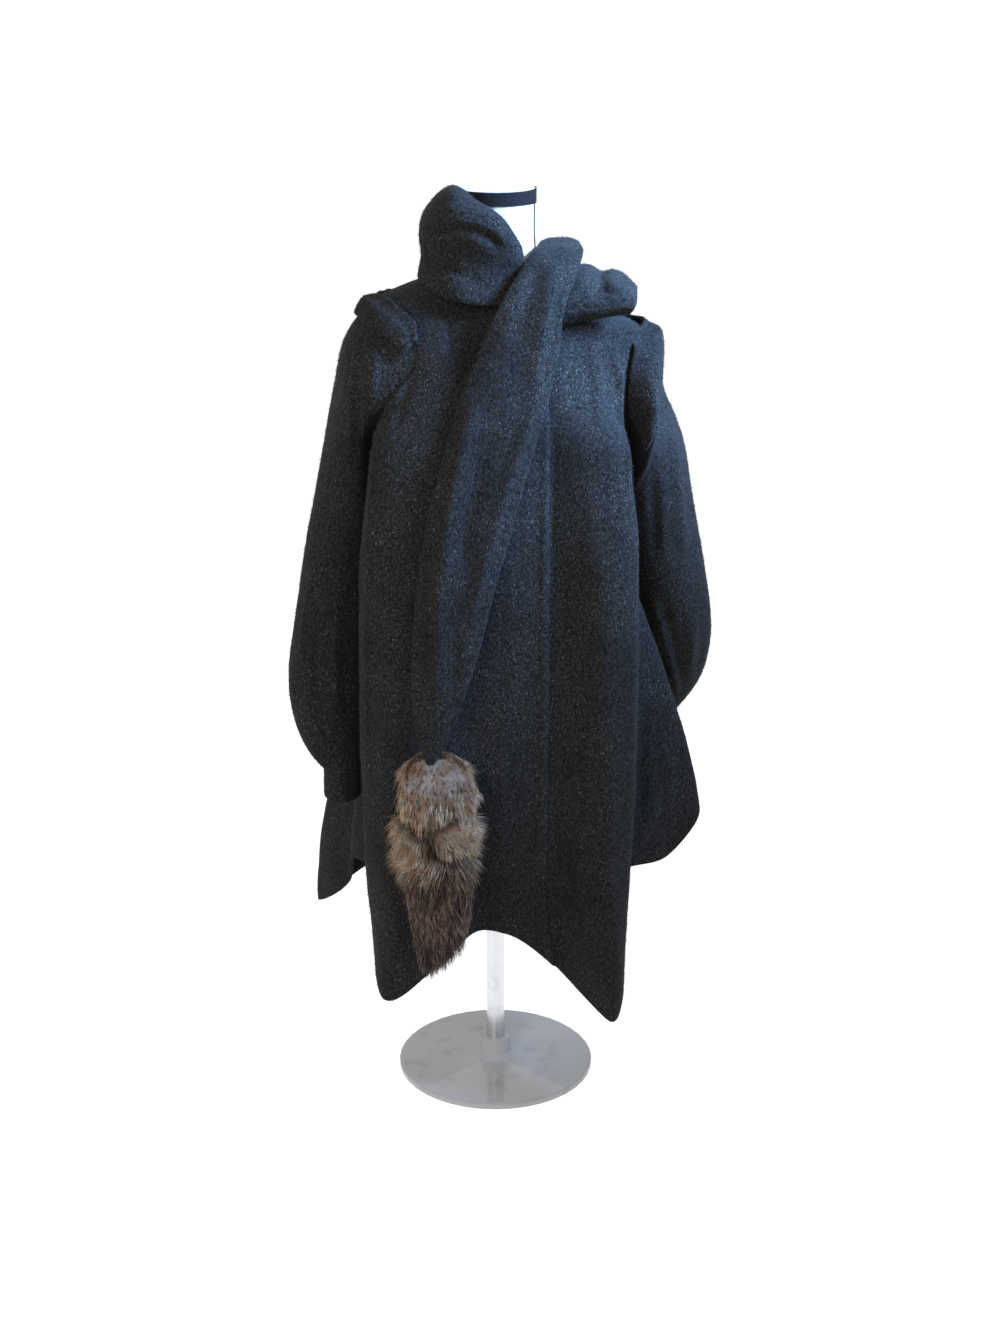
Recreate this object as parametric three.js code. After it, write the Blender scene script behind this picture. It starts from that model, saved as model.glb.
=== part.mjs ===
// Wool cape coat on a limbless dress form.
// Millimetres, +Z up, the front faces -Y, the wearer's left is +X, the floor is Z = 0.
// Angles round the coat are in degrees: 0 is straight ahead, 90 is the wearer's left side, 180 is the back.
import * as THREE from "three";

// Cloth and seams
const CLOTH = 3;
const SCARF_CLOTH = 6;
const SEAM_GAP = 0.3;
const LAP_GAP = 1.0;

// Heights of the coat's body
const UNDERARM_Z = 990;
const SHOULDER_Z = 1175;
const NECKLINE_Z = 1222;
const LEFT_SHOULDER_FALL = 0.09; // how much lower the left shoulder lies, mm for each mm from the middle
const RIGHT_SHOULDER_RISE = 0.155; // how much higher the right one lies
const FRONT_NECK_DROP = 14;

// Dress form and stand
const NECK_TOP_Z = 1348;
const NECK_RADIUS = 55;
const NECK_BAND_HEIGHT = 20;
const NECK_BAND_WALL = 1.4;
const FORM_BOTTOM_Z = 590;
const POLE_RADIUS = 14;
const BASE_RADIUS = 150;
const BASE_EDGE_HEIGHT = 9;
const BASE_HUB_HEIGHT = 46;
const BASE_HUB_RADIUS = 24;

// Colours
const WOOL = { color: 0x17191d, roughness: 0.95, metalness: 0 };
const FUR = { color: 0x8d8074, roughness: 0.9, metalness: 0 };
const JERSEY = { color: 0xe9e5dc, roughness: 0.85, metalness: 0 };
const RIBBON = { color: 0x141518, roughness: 0.7, metalness: 0 };
const STEEL = { color: 0xb9bcc0, roughness: 0.3, metalness: 1 };

// Ridges and valleys of the hanging cloth, going round from the back over the wearer's right side.
// hem is the hem's height there; the other columns are the distance from the axis at that height.
const FOLDS = [
  { angle: -180, hem: 285, r220: 205, r430: 200, r545: 192, r660: 184, r850: 168, r990: 158 },
  { angle: -160, hem: 268, r220: 188, r430: 184, r545: 178, r660: 172, r850: 160, r990: 156 },
  { angle: -141, hem: 244, r220: 275, r430: 250, r545: 228, r660: 208, r850: 182, r990: 168 },
  { angle: -130, hem: 292, r220: 236, r430: 222, r545: 206, r660: 192, r850: 176, r990: 167 },
  { angle: -118, hem: 207, r220: 323, r430: 290, r545: 236, r660: 200, r850: 176, r990: 167 },
  { angle: -108, hem: 272, r220: 244, r430: 222, r545: 196, r660: 180, r850: 172, r990: 167 },
  { angle: -97, hem: 338, r220: 226, r430: 214, r545: 190, r660: 176, r850: 171, r990: 168 },
  { angle: -82, hem: 345, r220: 178, r430: 176, r545: 171, r660: 169, r850: 168, r990: 168 },
  { angle: -66, hem: 292, r220: 196, r430: 196, r545: 194, r660: 192, r850: 191, r990: 182 },
  { angle: -53, hem: 222, r220: 222, r430: 236, r545: 237, r660: 236, r850: 231, r990: 211 },
  { angle: -40, hem: 206, r220: 246, r430: 240, r545: 238, r660: 232, r850: 217, r990: 190 },
  { angle: -24, hem: 262, r220: 196, r430: 198, r545: 196, r660: 194, r850: 182, r990: 164 },
  { angle: -8, hem: 302, r220: 146, r430: 156, r545: 160, r660: 162, r850: 160, r990: 152 },
  { angle: 10, hem: 290, r220: 150, r430: 158, r545: 161, r660: 162, r850: 159, r990: 151 },
  { angle: 27, hem: 252, r220: 178, r430: 174, r545: 172, r660: 171, r850: 166, r990: 156 },
  { angle: 33, hem: 228, r220: 190, r430: 182, r545: 178, r660: 178, r850: 172, r990: 162 },
  { angle: 42, hem: 174, r220: 260, r430: 242, r545: 236, r660: 233, r850: 221, r990: 188 },
  { angle: 53, hem: 212, r220: 238, r430: 246, r545: 250, r660: 250, r850: 245, r990: 218 },
  { angle: 66, hem: 366, r220: 206, r430: 204, r545: 204, r660: 204, r850: 205, r990: 196 },
  { angle: 75, hem: 370, r220: 244, r430: 243, r545: 230, r660: 212, r850: 192, r990: 188 },
  { angle: 80, hem: 386, r220: 277, r430: 276, r545: 258, r660: 230, r850: 190, r990: 187 },
  { angle: 84, hem: 436, r220: 308, r430: 308, r545: 286, r660: 249, r850: 190, r990: 186 },
  { angle: 92, hem: 446, r220: 278, r430: 274, r545: 240, r660: 212, r850: 187, r990: 184 },
  { angle: 106, hem: 408, r220: 222, r430: 202, r545: 190, r660: 187, r850: 183, r990: 181 },
  { angle: 124, hem: 322, r220: 216, r430: 206, r545: 197, r660: 191, r850: 183, r990: 175 },
  { angle: 143, hem: 238, r220: 290, r430: 262, r545: 238, r660: 216, r850: 187, r990: 171 },
  { angle: 162, hem: 262, r220: 193, r430: 188, r545: 181, r660: 174, r850: 162, r990: 157 },
  { angle: 180, hem: 285, r220: 205, r430: 200, r545: 192, r660: 184, r850: 168, r990: 158 },
];
const FOLD_HEIGHTS = [220, 430, 545, 660, 850, 990];

// Sections of the chest and shoulders: half widths to each side, depths to the front and back.
const CHEST = [
  { z: 990, right: 172, left: 186, front: 150, back: 152 },
  { z: 1050, right: 168, left: 192, front: 140, back: 142 },
  { z: 1100, right: 168, left: 199, front: 127, back: 131 },
  { z: 1135, right: 167, left: 205, front: 110, back: 117 },
  { z: 1158, right: 165, left: 208, front: 94, back: 99 },
  { z: 1175, right: 161, left: 208, front: 81, back: 81 },
  { z: 1192, right: 132, left: 160, front: 74, back: 71 },
  { z: 1206, right: 104, left: 118, front: 71, back: 67 },
  { z: 1216, right: 87, left: 97, front: 71, back: 65 },
  { z: 1222, right: 78, left: 85, front: 73, back: 65 },
];
const CHEST_POWER = 2.3;
const LEVELS_ABOVE = [990, 1005, 1030, 1060, 1095, 1127, 1152, 1168, 1175, 1192, 1206, 1216, 1222];
const ROWS_BELOW = 12;

// Armholes: degrees from the side seam to the front edges on the right and left and to both back edges.
const ARMHOLE = [
  { z: 990, right: 0, left: 0, back: 0 },
  { z: 1005, right: 10, left: 5, back: 8 },
  { z: 1030, right: 22, left: 10, back: 18 },
  { z: 1060, right: 34, left: 13, back: 27 },
  { z: 1095, right: 41, left: 14, back: 32 },
  { z: 1127, right: 42, left: 13, back: 33 },
  { z: 1152, right: 34, left: 11, back: 27 },
  { z: 1168, right: 18, left: 7, back: 15 },
  { z: 1175, right: 0, left: 0, back: 0 },
];

// Front edges of the two fronts, measured across from the axis.
const FRONT_EDGES = [
  { z: 178, lap: 92, under: 22 },
  { z: 260, lap: 86, under: 16 },
  { z: 330, lap: 73, under: 13 },
  { z: 660, lap: 75, under: 14 },
  { z: 1060, lap: 73, under: 13 },
  { z: 1150, lap: 56, under: 9 },
  { z: 1222, lap: 32, under: 4 },
];
const LAP_COLUMNS = 4;
const LAP_BLEND = 9; // degrees beyond the lap over which the under front comes out to the full distance

// Angles of the panels' columns below the underarm.
const RIGHT_FRONT_LINES = [-90, -84, -78, -72, -66, -60.5, -55.5, -50.5, -45.5, -40.5, -35, -29, -22, -14, -5];
const LEFT_FRONT_LINES = [40, 44.5, 49, 54, 60, 66, 70.5, 75, 79, 82.5, 85.5, 90];
const BACK_LINES = [
  90, 93, 98, 104, 111, 118, 125, 132, 138, 144, 151, 158, 165, 172.5, 180, 188, 196, 203, 210, 215, 219, 224,
  229, 233, 238, 242, 247, 252, 257, 263, 270,
];
const FREE_FRONT = 40; // columns less than this far from straight ahead keep their angle up to the neck
const FREE_BACK = 132; // columns beyond this do so on the back

// Sleeve sections, outward being away from the body. tilt raises the outward side.
const RIGHT_SLEEVE = [
  { x: 196, y: 0, z: 1046, width: 77, depth: 88, tilt: 74 },
  { x: 204, y: 3, z: 972, width: 69, depth: 70, tilt: 63 },
  { x: 213, y: 6, z: 893, width: 57, depth: 61, tilt: 42 },
  { x: 225, y: 7, z: 820, width: 54, depth: 57, tilt: 24 },
  { x: 238, y: 5, z: 722, width: 55, depth: 55, tilt: 8 },
  { x: 246, y: 0, z: 640, width: 59, depth: 56, tilt: 2 },
  { x: 244, y: -10, z: 588, width: 54, depth: 53, tilt: -3 },
  { x: 238, y: -27, z: 548, width: 43, depth: 46, tilt: -8 },
  { x: 226, y: -40, z: 517, width: 29, depth: 40, tilt: 0 },
];
const LEFT_SLEEVE = [
  { x: 217, y: 0, z: 1005, width: 59, depth: 84, tilt: 66 },
  { x: 228, y: 8, z: 957, width: 61, depth: 68, tilt: 53 },
  { x: 238, y: 22, z: 870, width: 56, depth: 60, tilt: 31 },
  { x: 252, y: 42, z: 775, width: 58, depth: 57, tilt: 11 },
  { x: 261, y: 62, z: 700, width: 61, depth: 57, tilt: 0 },
  { x: 261, y: 77, z: 636, width: 55, depth: 54, tilt: -3 },
  { x: 248, y: 91, z: 584, width: 44, depth: 47, tilt: -9 },
  { x: 234, y: 101, z: 542, width: 29, depth: 40, tilt: 0 },
];
const SLEEVE_HEAD_ROWS = 5;
const SLEEVE_ROWS = 12;
const CUFF_WIDTH = 27;
const CUFF_DEPTH = 38;
const CUFF_HEIGHT = 44;
const RIGHT_CUFF = { x: 226, y: -41, z: 515.8 };
const LEFT_CUFF = { x: 233, y: 102, z: 541 };

// Shoulder caps by steps round the armhole from the shoulder: share of the sleeve's head that is covered,
// how far the free edge stands off and how far the roll between swells.
const RIGHT_CAP = [
  { step: 0, reach: 0.46, lift: 4, swell: 8 },
  { step: 1, reach: 0.43, lift: 4, swell: 8 },
  { step: 2, reach: 0.3, lift: 4, swell: 6 },
  { step: 3, reach: 0.18, lift: 3, swell: 3 },
];
const LEFT_CAP = [
  { step: 0, reach: 0.56, lift: 6, swell: 13 },
  { step: 2, reach: 0.7, lift: 8, swell: 11 },
  { step: 4, reach: 0.84, lift: 9, swell: 9 },
  { step: 5, reach: 0.7, lift: 9, swell: 9 },
];
const CAP_CLOTH = 5;
const CAP_ROWS = 5;
const CAP_CLEARANCE = 2.1;
const CAP_SEAM = 10; // width of the strip that lies on the coat beside the armhole
const CAP_SHOULDER_RISE = 3.4; // how much higher the strip lies over the ridge of the shoulder

// Scarf round the neck, from the front under the fall, over the wearer's right and back to the left.
// It stands from its low edge to a waist, swells over it and closes in to its high edge.
const NECK_WRAP = [
  { angle: 30, low: 1206, lowR: 86, waist: 1224, waistR: 76, swell: 1252, swellR: 80, high: 1280, highR: 69 },
  { angle: 15, low: 1204, lowR: 90, waist: 1236, waistR: 77, swell: 1278, swellR: 86, high: 1309, highR: 68 },
  { angle: -10, low: 1204, lowR: 97, waist: 1248, waistR: 81, swell: 1298, swellR: 95, high: 1332, highR: 65 },
  { angle: -40, low: 1211, lowR: 107, waist: 1264, waistR: 92, swell: 1308, swellR: 104, high: 1344, highR: 63 },
  { angle: -90, low: 1228, lowR: 107, waist: 1258, waistR: 102, swell: 1286, swellR: 105, high: 1341, highR: 62 },
  { angle: -112, low: 1225.4, lowR: 102, waist: 1254, waistR: 97, swell: 1284, swellR: 101, high: 1337, highR: 62 },
  { angle: -135, low: 1212.3, lowR: 95, waist: 1248, waistR: 88, swell: 1285, swellR: 94, high: 1332, highR: 63 },
  { angle: -180, low: 1196, lowR: 84, waist: 1234, waistR: 78, swell: 1270, swellR: 83, high: 1312, highR: 64 },
  { angle: -225, low: 1220, lowR: 84, waist: 1238, waistR: 78, swell: 1258, swellR: 80, high: 1282, highR: 65 },
];
const WRAP_COLUMNS = 28;
const WRAP_TUCK_ROWS = 4;
const WRAP_OVER_ROWS = 4;

// Scarf end that falls over the front: centre, half width, half thickness and how far it stands off.
const FALL = [
  { x: 82, y: 42, z: 1262, width: 24, thick: 5, lean: 80 },
  { x: 89, y: 4, z: 1275, width: 28, thick: 5, lean: 84 },
  { x: 85, y: -46, z: 1271, width: 35, thick: 5, lean: 62 },
  { x: 66, y: -100, z: 1238, width: 41, thick: 5, lean: 34 },
  { x: 46, y: -124, z: 1196, width: 46, thick: 5, lean: 20 },
  { x: 30, y: -136, z: 1142, width: 55, thick: 5, lean: 14 },
  { x: 12, y: -152, z: 1082, width: 60, thick: 5, lean: 8 },
  { x: -8, y: -166, z: 1015, width: 60, thick: 5, lean: 5 },
  { x: -26, y: -178, z: 950, width: 60, thick: 5, lean: 4 },
  { x: -42, y: -188, z: 880, width: 57, thick: 5, lean: 4 },
  { x: -56, y: -197, z: 810, width: 51, thick: 5, lean: 4 },
  { x: -67, y: -205, z: 745, width: 45, thick: 5, lean: 4 },
  { x: -78, y: -213, z: 680, width: 36, thick: 5, lean: 6 },
  { x: -84, y: -220, z: 635, width: 25, thick: 5, lean: 8 },
  { x: -88, y: -224.4, z: 602.6, width: 12, thick: 4.5, lean: 8 },
  { x: -89, y: -225.7, z: 590, width: 5, thick: 4, lean: 8 },
];
const FALL_SPACING = 36;
const FALL_POINTS = 14;

// Scarf over the wearer's left shoulder, from its front fold to the back. drop is how much lower the outward
// edge lies, ridge the height of the two ridges along it.
const ROLL = [
  { y: -74.6, z: 1175, left: 88, right: 183, drop: -18, ridge: 1 },
  { y: -96, z: 1188, left: 88, right: 187, drop: -14, ridge: 3 },
  { y: -95, z: 1206, left: 89, right: 190, drop: -2, ridge: 6 },
  { y: -74, z: 1224, left: 91, right: 193, drop: 10, ridge: 9 },
  { y: -36, z: 1235, left: 94, right: 195, drop: 18, ridge: 10 },
  { y: 8, z: 1237, left: 98, right: 198, drop: 20, ridge: 9 },
  { y: 48, z: 1224, left: 100, right: 198, drop: 20, ridge: 8 },
  { y: 84, z: 1196, left: 100, right: 194, drop: 18, ridge: 6 },
  { y: 112, z: 1158, left: 98, right: 188, drop: 16, ridge: 5 },
];
const ROLL_COLUMNS = 12;

// Scarf end that hangs down the back.
const BACK_END = [
  { y: 112.3, z: 1157.6, left: 98, right: 188, drop: 16, ridge: 5 },
  { y: 122, z: 1144.4, left: 97, right: 187, drop: 16, ridge: 5 },
  { y: 146, z: 1080, left: 92, right: 184, drop: 16, ridge: 4 },
  { y: 160, z: 1010, left: 88, right: 180, drop: 16, ridge: 4 },
  { y: 172, z: 930, left: 84, right: 176, drop: 16, ridge: 4 },
  { y: 184, z: 850, left: 84, right: 170, drop: 14, ridge: 3 },
  { y: 194, z: 790, left: 92, right: 160, drop: 12, ridge: 2 },
  { y: 200, z: 750, left: 112, right: 140, drop: 6, ridge: 0 },
];

// Fur tail on the end of the fall.
const TAIL = [
  { z: 608, x: -86, y: -201, width: 16, depth: 5 },
  { z: 600, x: -84, y: -204, width: 34, depth: 8 },
  { z: 580, x: -82, y: -212, width: 50, depth: 18 },
  { z: 548, x: -80, y: -224, width: 54, depth: 34 },
  { z: 512, x: -82, y: -229, width: 54, depth: 40 },
  { z: 478, x: -82, y: -230, width: 60, depth: 42 },
  { z: 440, x: -77, y: -230, width: 57, depth: 42 },
  { z: 400, x: -74, y: -229, width: 54, depth: 40 },
  { z: 355, x: -76, y: -228, width: 47, depth: 36 },
  { z: 315, x: -79, y: -227, width: 37, depth: 30 },
  { z: 282, x: -82, y: -226, width: 23, depth: 20 },
  { z: 264, x: -83, y: -226, width: 9, depth: 8 },
];
const TAIL_POINTS = 16;

// Dress form, from its base to the neck.
const TORSO = [
  { z: 590, width: 138, front: 92, back: 100 },
  { z: 602, width: 147, front: 99, back: 109 },
  { z: 650, width: 150, front: 102, back: 112 },
  { z: 700, width: 143, front: 101, back: 108 },
  { z: 750, width: 129, front: 97, back: 98 },
  { z: 800, width: 114, front: 92, back: 88 },
  { z: 850, width: 108, front: 90, back: 82 },
  { z: 900, width: 117, front: 97, back: 86 },
  { z: 955, width: 133, front: 110, back: 93 },
  { z: 1010, width: 142, front: 117, back: 98 },
  { z: 1060, width: 145, front: 112, back: 101 },
  { z: 1105, width: 148, front: 101, back: 100 },
  { z: 1140, width: 150, front: 84, back: 92 },
  { z: 1162, width: 145, front: 68, back: 76 },
  { z: 1179, width: 133, front: 61, back: 65 },
  { z: 1192.6, width: 116, front: 58, back: 60 },
  { z: 1203.6, width: 93, front: 56, back: 57 },
  { z: 1215, width: 72, front: 56, back: 56 },
  { z: 1230, width: 61, front: 55.5, back: 55.5 },
  { z: 1250, width: 57, front: 55, back: 55 },
  { z: 1290, width: 55, front: 55, back: 55 },
  { z: NECK_TOP_Z, width: 55, front: 55, back: 55 },
];
const TORSO_POINTS = 24;

const rad = THREE.MathUtils.degToRad;
const mix = THREE.MathUtils.lerp;
const point = (x, y, z) => new THREE.Vector3(x, y, z);
const smooth = (from, to, value) => THREE.MathUtils.smoothstep(value, from, to);

// A column of a table at a key, on a smooth curve that never passes beyond its neighbouring rows.
function read(table, key, column, at) {
  const last = table.length - 1;
  const rising = table[last][key] > table[0][key];
  const before = (row) => (rising ? row[key] <= at : row[key] >= at);
  let i = 0;
  while (i < last - 1 && before(table[i + 1])) i += 1;
  const slope = (k) => {
    if (k <= 0 || k >= last) return 0;
    const down = (table[k][column] - table[k - 1][column]) / (table[k][key] - table[k - 1][key]);
    const up = (table[k + 1][column] - table[k][column]) / (table[k + 1][key] - table[k][key]);
    return down * up > 0 ? (2 * down * up) / (down + up) : 0;
  };
  const span = table[i + 1][key] - table[i][key];
  const t = THREE.MathUtils.clamp((at - table[i][key]) / span, 0, 1);
  const [a, b] = [table[i][column], table[i + 1][column]];
  const [ma, mb] = [slope(i) * span, slope(i + 1) * span];
  const t2 = t * t;
  const t3 = t2 * t;
  return (2 * t3 - 3 * t2 + 1) * a + (t3 - 2 * t2 + t) * ma + (3 * t2 - 2 * t3) * b + (t3 - t2) * mb;
}

// The smooth curve through a table of rows, cut into steps of equal share.
function curveRow(table, share) {
  const place = share * (table.length - 1);
  const numbered = table.map((row, index) => ({ ...row, index }));
  const columns = Object.keys(table[0]);
  return Object.fromEntries(columns.map((name) => [name, read(numbered, "index", name, place)]));
}

// Distance of a rounded section's edge from its axis, with unlike half widths and depths.
function roundedDistance(angle, { left, right, front, back }, power) {
  const across = Math.abs(Math.sin(rad(angle))) / (Math.sin(rad(angle)) < 0 ? right : left);
  const ahead = Math.abs(Math.cos(rad(angle))) / (Math.cos(rad(angle)) < 0 ? back : front);
  return (across ** power + ahead ** power) ** (-1 / power);
}

function wrapAngle(angle) {
  return ((((angle + 180) % 360) + 360) % 360) - 180;
}

// Distance of the coat's outer face from the axis.
function coatDistance(angle, z) {
  const turned = wrapAngle(angle);
  const column = FOLD_HEIGHTS.map((height) => ({ height, r: read(FOLDS, "angle", "r" + height, turned) }));
  const folded = read(column, "height", "r", z);
  if (z <= UNDERARM_Z) return folded;
  const names = ["left", "right", "front", "back"];
  const section = Object.fromEntries(names.map((name) => [name, read(CHEST, "z", name, z)]));
  const rounded = roundedDistance(turned, section, CHEST_POWER);
  return mix(folded, rounded, smooth(UNDERARM_Z, UNDERARM_Z + 110, z));
}

// A point on the coat's outer face.
function coatPoint(angle, z) {
  const r = coatDistance(angle, z);
  const x = r * Math.sin(rad(angle));
  const y = -r * Math.cos(rad(angle));
  const tilt = (x > 0 ? LEFT_SHOULDER_FALL : RIGHT_SHOULDER_RISE) * x * smooth(UNDERARM_Z, 1150, z);
  const drop = FRONT_NECK_DROP * Math.max(0, Math.cos(rad(angle))) * smooth(SHOULDER_Z, NECKLINE_Z, z);
  return point(x, y, z - tilt - drop);
}

function coatNormal(angle, z) {
  const [turn, climb] = [0.5, 1.5];
  const low = Math.max(z - climb, 150);
  const high = Math.min(z + climb, NECKLINE_Z);
  const across = coatPoint(angle + turn, z).sub(coatPoint(angle - turn, z));
  const along = coatPoint(angle, high).sub(coatPoint(angle, low));
  return across.cross(along).normalize();
}

// Angle at which the coat's face stands a given distance across from the axis, near the front.
function angleAcross(x, z) {
  let angle = 0;
  for (let step = 0; step < 12; step += 1) {
    angle = THREE.MathUtils.radToDeg(Math.asin(THREE.MathUtils.clamp(x / coatDistance(angle, z), -0.95, 0.95)));
  }
  return angle;
}

const hemHeight = (angle) => read(FOLDS, "angle", "hem", wrapAngle(angle));
const armholeAngle = (z, edge) => (z > SHOULDER_Z ? 0 : read(ARMHOLE, "z", edge, Math.max(z, UNDERARM_Z)));
const gapAngle = (z) => THREE.MathUtils.radToDeg((SEAM_GAP * 0.9) / coatDistance(90, z));

// Heights of a panel's rows at one angle: even steps from the hem to the underarm, then the chest's levels.
function rowHeights(angle) {
  const hem = hemHeight(angle);
  const below = Array.from({ length: ROWS_BELOW }, (_, i) => mix(hem, UNDERARM_Z, i / ROWS_BELOW));
  return [...below, ...LEVELS_ABOVE];
}

// The middle of a list of points.
const middle = (points) => points.reduce((sum, p) => sum.add(p), point(0, 0, 0)).divideScalar(points.length);

// Triangles of a grid's quads; a ring joins its last column to its first.
function quadFaces(rows, columns, ring, index) {
  const faces = [];
  const across = ring ? columns : columns - 1;
  for (let i = 0; i < rows - 1; i += 1) {
    for (let j = 0; j < across; j += 1) {
      const next = (j + 1) % columns;
      const [a, b, c, d] = [index(i, j), index(i, next), index(i + 1, next), index(i + 1, j)];
      faces.push([a, b, c], [a, c, d]);
    }
  }
  return faces;
}

// A closed geometry from points and triangles, with its faces turned outwards.
function closedGeometry(points, faces) {
  const volume = faces.reduce((sum, [a, b, c]) => {
    return sum + points[a].dot(points[b].clone().cross(points[c]));
  }, 0);
  const turned = volume < 0 ? faces.map(([a, b, c]) => [a, c, b]) : faces;
  const geometry = new THREE.BufferGeometry().setFromPoints(points);
  geometry.setIndex(turned.flat());
  geometry.computeVertexNormals();
  return geometry;
}

// A wall between an outer and an inner grid of points.
function wallGeometry(outer, inner, ring = false) {
  const [rows, columns] = [outer.length, outer[0].length];
  const points = [...outer.flat(), ...inner.flat()];
  const out = (i, j) => i * columns + j;
  const back = (i, j) => rows * columns + i * columns + j;
  const faces = quadFaces(rows, columns, ring, out);
  faces.push(...quadFaces(rows, columns, ring, back).map(([a, b, c]) => [a, c, b]));
  const across = ring ? columns : columns - 1;
  for (let j = 0; j < across; j += 1) {
    const next = (j + 1) % columns;
    faces.push([out(0, next), out(0, j), back(0, j)], [out(0, next), back(0, j), back(0, next)]);
    const top = rows - 1;
    faces.push([out(top, j), out(top, next), back(top, next)], [out(top, j), back(top, next), back(top, j)]);
  }
  if (!ring) {
    const end = columns - 1;
    for (let i = 0; i < rows - 1; i += 1) {
      faces.push([out(i, 0), out(i + 1, 0), back(i + 1, 0)], [out(i, 0), back(i + 1, 0), back(i, 0)]);
      faces.push([out(i + 1, end), out(i, end), back(i, end)], [out(i + 1, end), back(i, end), back(i + 1, end)]);
    }
  }
  return closedGeometry(points, faces);
}

// Outward directions over a grid of points, from its neighbours.
function gridNormals(grid, ring, sign = 1) {
  const [rows, columns] = [grid.length, grid[0].length];
  return grid.map((row, i) =>
    row.map((_, j) => {
      const before = ring ? row[(j - 1 + columns) % columns] : row[Math.max(j - 1, 0)];
      const after = ring ? row[(j + 1) % columns] : row[Math.min(j + 1, columns - 1)];
      const down = grid[Math.max(i - 1, 0)][j];
      const up = grid[Math.min(i + 1, rows - 1)][j];
      return after.clone().sub(before).cross(up.clone().sub(down)).normalize().multiplyScalar(sign);
    }),
  );
}

// A cloth wall whose inner face lies a thickness behind the given outer grid.
function clothGeometry(outer, thickness, { ring = false, sign = 1 } = {}) {
  const normals = gridNormals(outer, ring, sign);
  const inner = outer.map((row, i) => row.map((p, j) => p.clone().addScaledVector(normals[i][j], -thickness)));
  return wallGeometry(outer, inner, ring);
}

// A solid through closed sections, with its two ends closed.
function loftGeometry(rings) {
  const columns = rings[0].length;
  const points = rings.flat();
  const index = (i, j) => i * columns + j;
  const faces = quadFaces(rings.length, columns, true, index);
  const low = points.push(middle(rings[0])) - 1;
  const high = points.push(middle(rings[rings.length - 1])) - 1;
  for (let j = 0; j < columns; j += 1) {
    const next = (j + 1) % columns;
    faces.push([low, index(0, next), index(0, j)]);
    faces.push([high, index(rings.length - 1, j), index(rings.length - 1, next)]);
  }
  return closedGeometry(points, faces);
}

// The angle of a column at a height: columns near an armhole draw together to leave room for it.
function columnAngle(line, z) {
  const side = Math.sign(line);
  const away = Math.abs(line);
  if (away <= FREE_FRONT) return line;
  const edge = 90 - armholeAngle(z, side < 0 ? "right" : "left") - gapAngle(z);
  return side * (FREE_FRONT + ((away - FREE_FRONT) * (edge - FREE_FRONT)) / (90 - FREE_FRONT));
}

function backAngle(line, z) {
  const away = line <= 180 ? line : 360 - line;
  if (away >= FREE_BACK) return line;
  const edge = 90 + armholeAngle(z, "back") + gapAngle(z);
  const moved = FREE_BACK - ((FREE_BACK - away) * (FREE_BACK - edge)) / (FREE_BACK - 90);
  return line <= 180 ? moved : 360 - moved;
}

const lapAngle = (z) => angleAcross(read(FRONT_EDGES, "z", "lap", z), z);
const underAngle = (z) => angleAcross(read(FRONT_EDGES, "z", "under", z), z);

// The columns that both fronts share where one laps over the other.
const LAP_LINES = Array.from({ length: LAP_COLUMNS + 1 }, (_, k) => {
  return (z) => mix(underAngle(z), lapAngle(z), k / LAP_COLUMNS);
});

// A panel of the coat's body over its columns, each an angle for a height.
function panelGeometry(lines, depthAt = () => 0) {
  const rows = ROWS_BELOW + LEVELS_ABOVE.length;
  const outer = [];
  const inner = [];
  for (let i = 0; i < rows; i += 1) {
    outer.push([]);
    inner.push([]);
    lines.forEach((line) => {
      let z = i < ROWS_BELOW ? UNDERARM_Z : LEVELS_ABOVE[i - ROWS_BELOW];
      let angle = line(z);
      for (let pass = 0; pass < 6 && i < ROWS_BELOW; pass += 1) {
        z = rowHeights(angle)[i];
        angle = line(z);
      }
      const normal = coatNormal(angle, z);
      const p = coatPoint(angle, z).addScaledVector(normal, -depthAt(angle, z));
      outer[i].push(p);
      inner[i].push(p.clone().addScaledVector(normal, -CLOTH));
    });
  }
  return wallGeometry(outer, inner);
}

// The wearer's right front, which laps over the other.
function rightFront() {
  const lines = RIGHT_FRONT_LINES.map((line) => (z) => columnAngle(line, z));
  return panelGeometry([...lines, ...LAP_LINES]);
}

// The wearer's left front, which lies under the lap.
function leftFront() {
  const clear = [(z) => lapAngle(z) + LAP_BLEND / 2, (z) => lapAngle(z) + LAP_BLEND];
  const lines = LEFT_FRONT_LINES.map((line) => (z) => Math.max(columnAngle(line, z), lapAngle(z) + LAP_BLEND + 2));
  const depthAt = (angle, z) => (CLOTH + LAP_GAP) * (1 - smooth(lapAngle(z), lapAngle(z) + LAP_BLEND, angle));
  return panelGeometry([...LAP_LINES, ...clear, ...lines], depthAt);
}

function back() {
  return panelGeometry(BACK_LINES.map((line) => (z) => backAngle(line, z)));
}

// Heights of the armhole's points, from the shoulder down the front and up the back.
const ARMHOLE_LEVELS = ARMHOLE.map((row) => row.z).reverse();
const ARMHOLE_EDGE = [
  ...ARMHOLE_LEVELS.slice(0, -1).map((z) => ({ z, ahead: true })),
  ...ARMHOLE_LEVELS.slice(1).reverse().map((z) => ({ z, ahead: false })),
];

// A point of the armhole's edge.
function armholePoint(side, { z, ahead }) {
  const front = side < 0 ? "right" : "left";
  const offset = armholeAngle(z, ahead ? front : "back");
  const angle = side * (ahead ? 90 - offset : 90 + offset);
  return { p: coatPoint(angle, z), normal: coatNormal(angle, z) };
}

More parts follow.
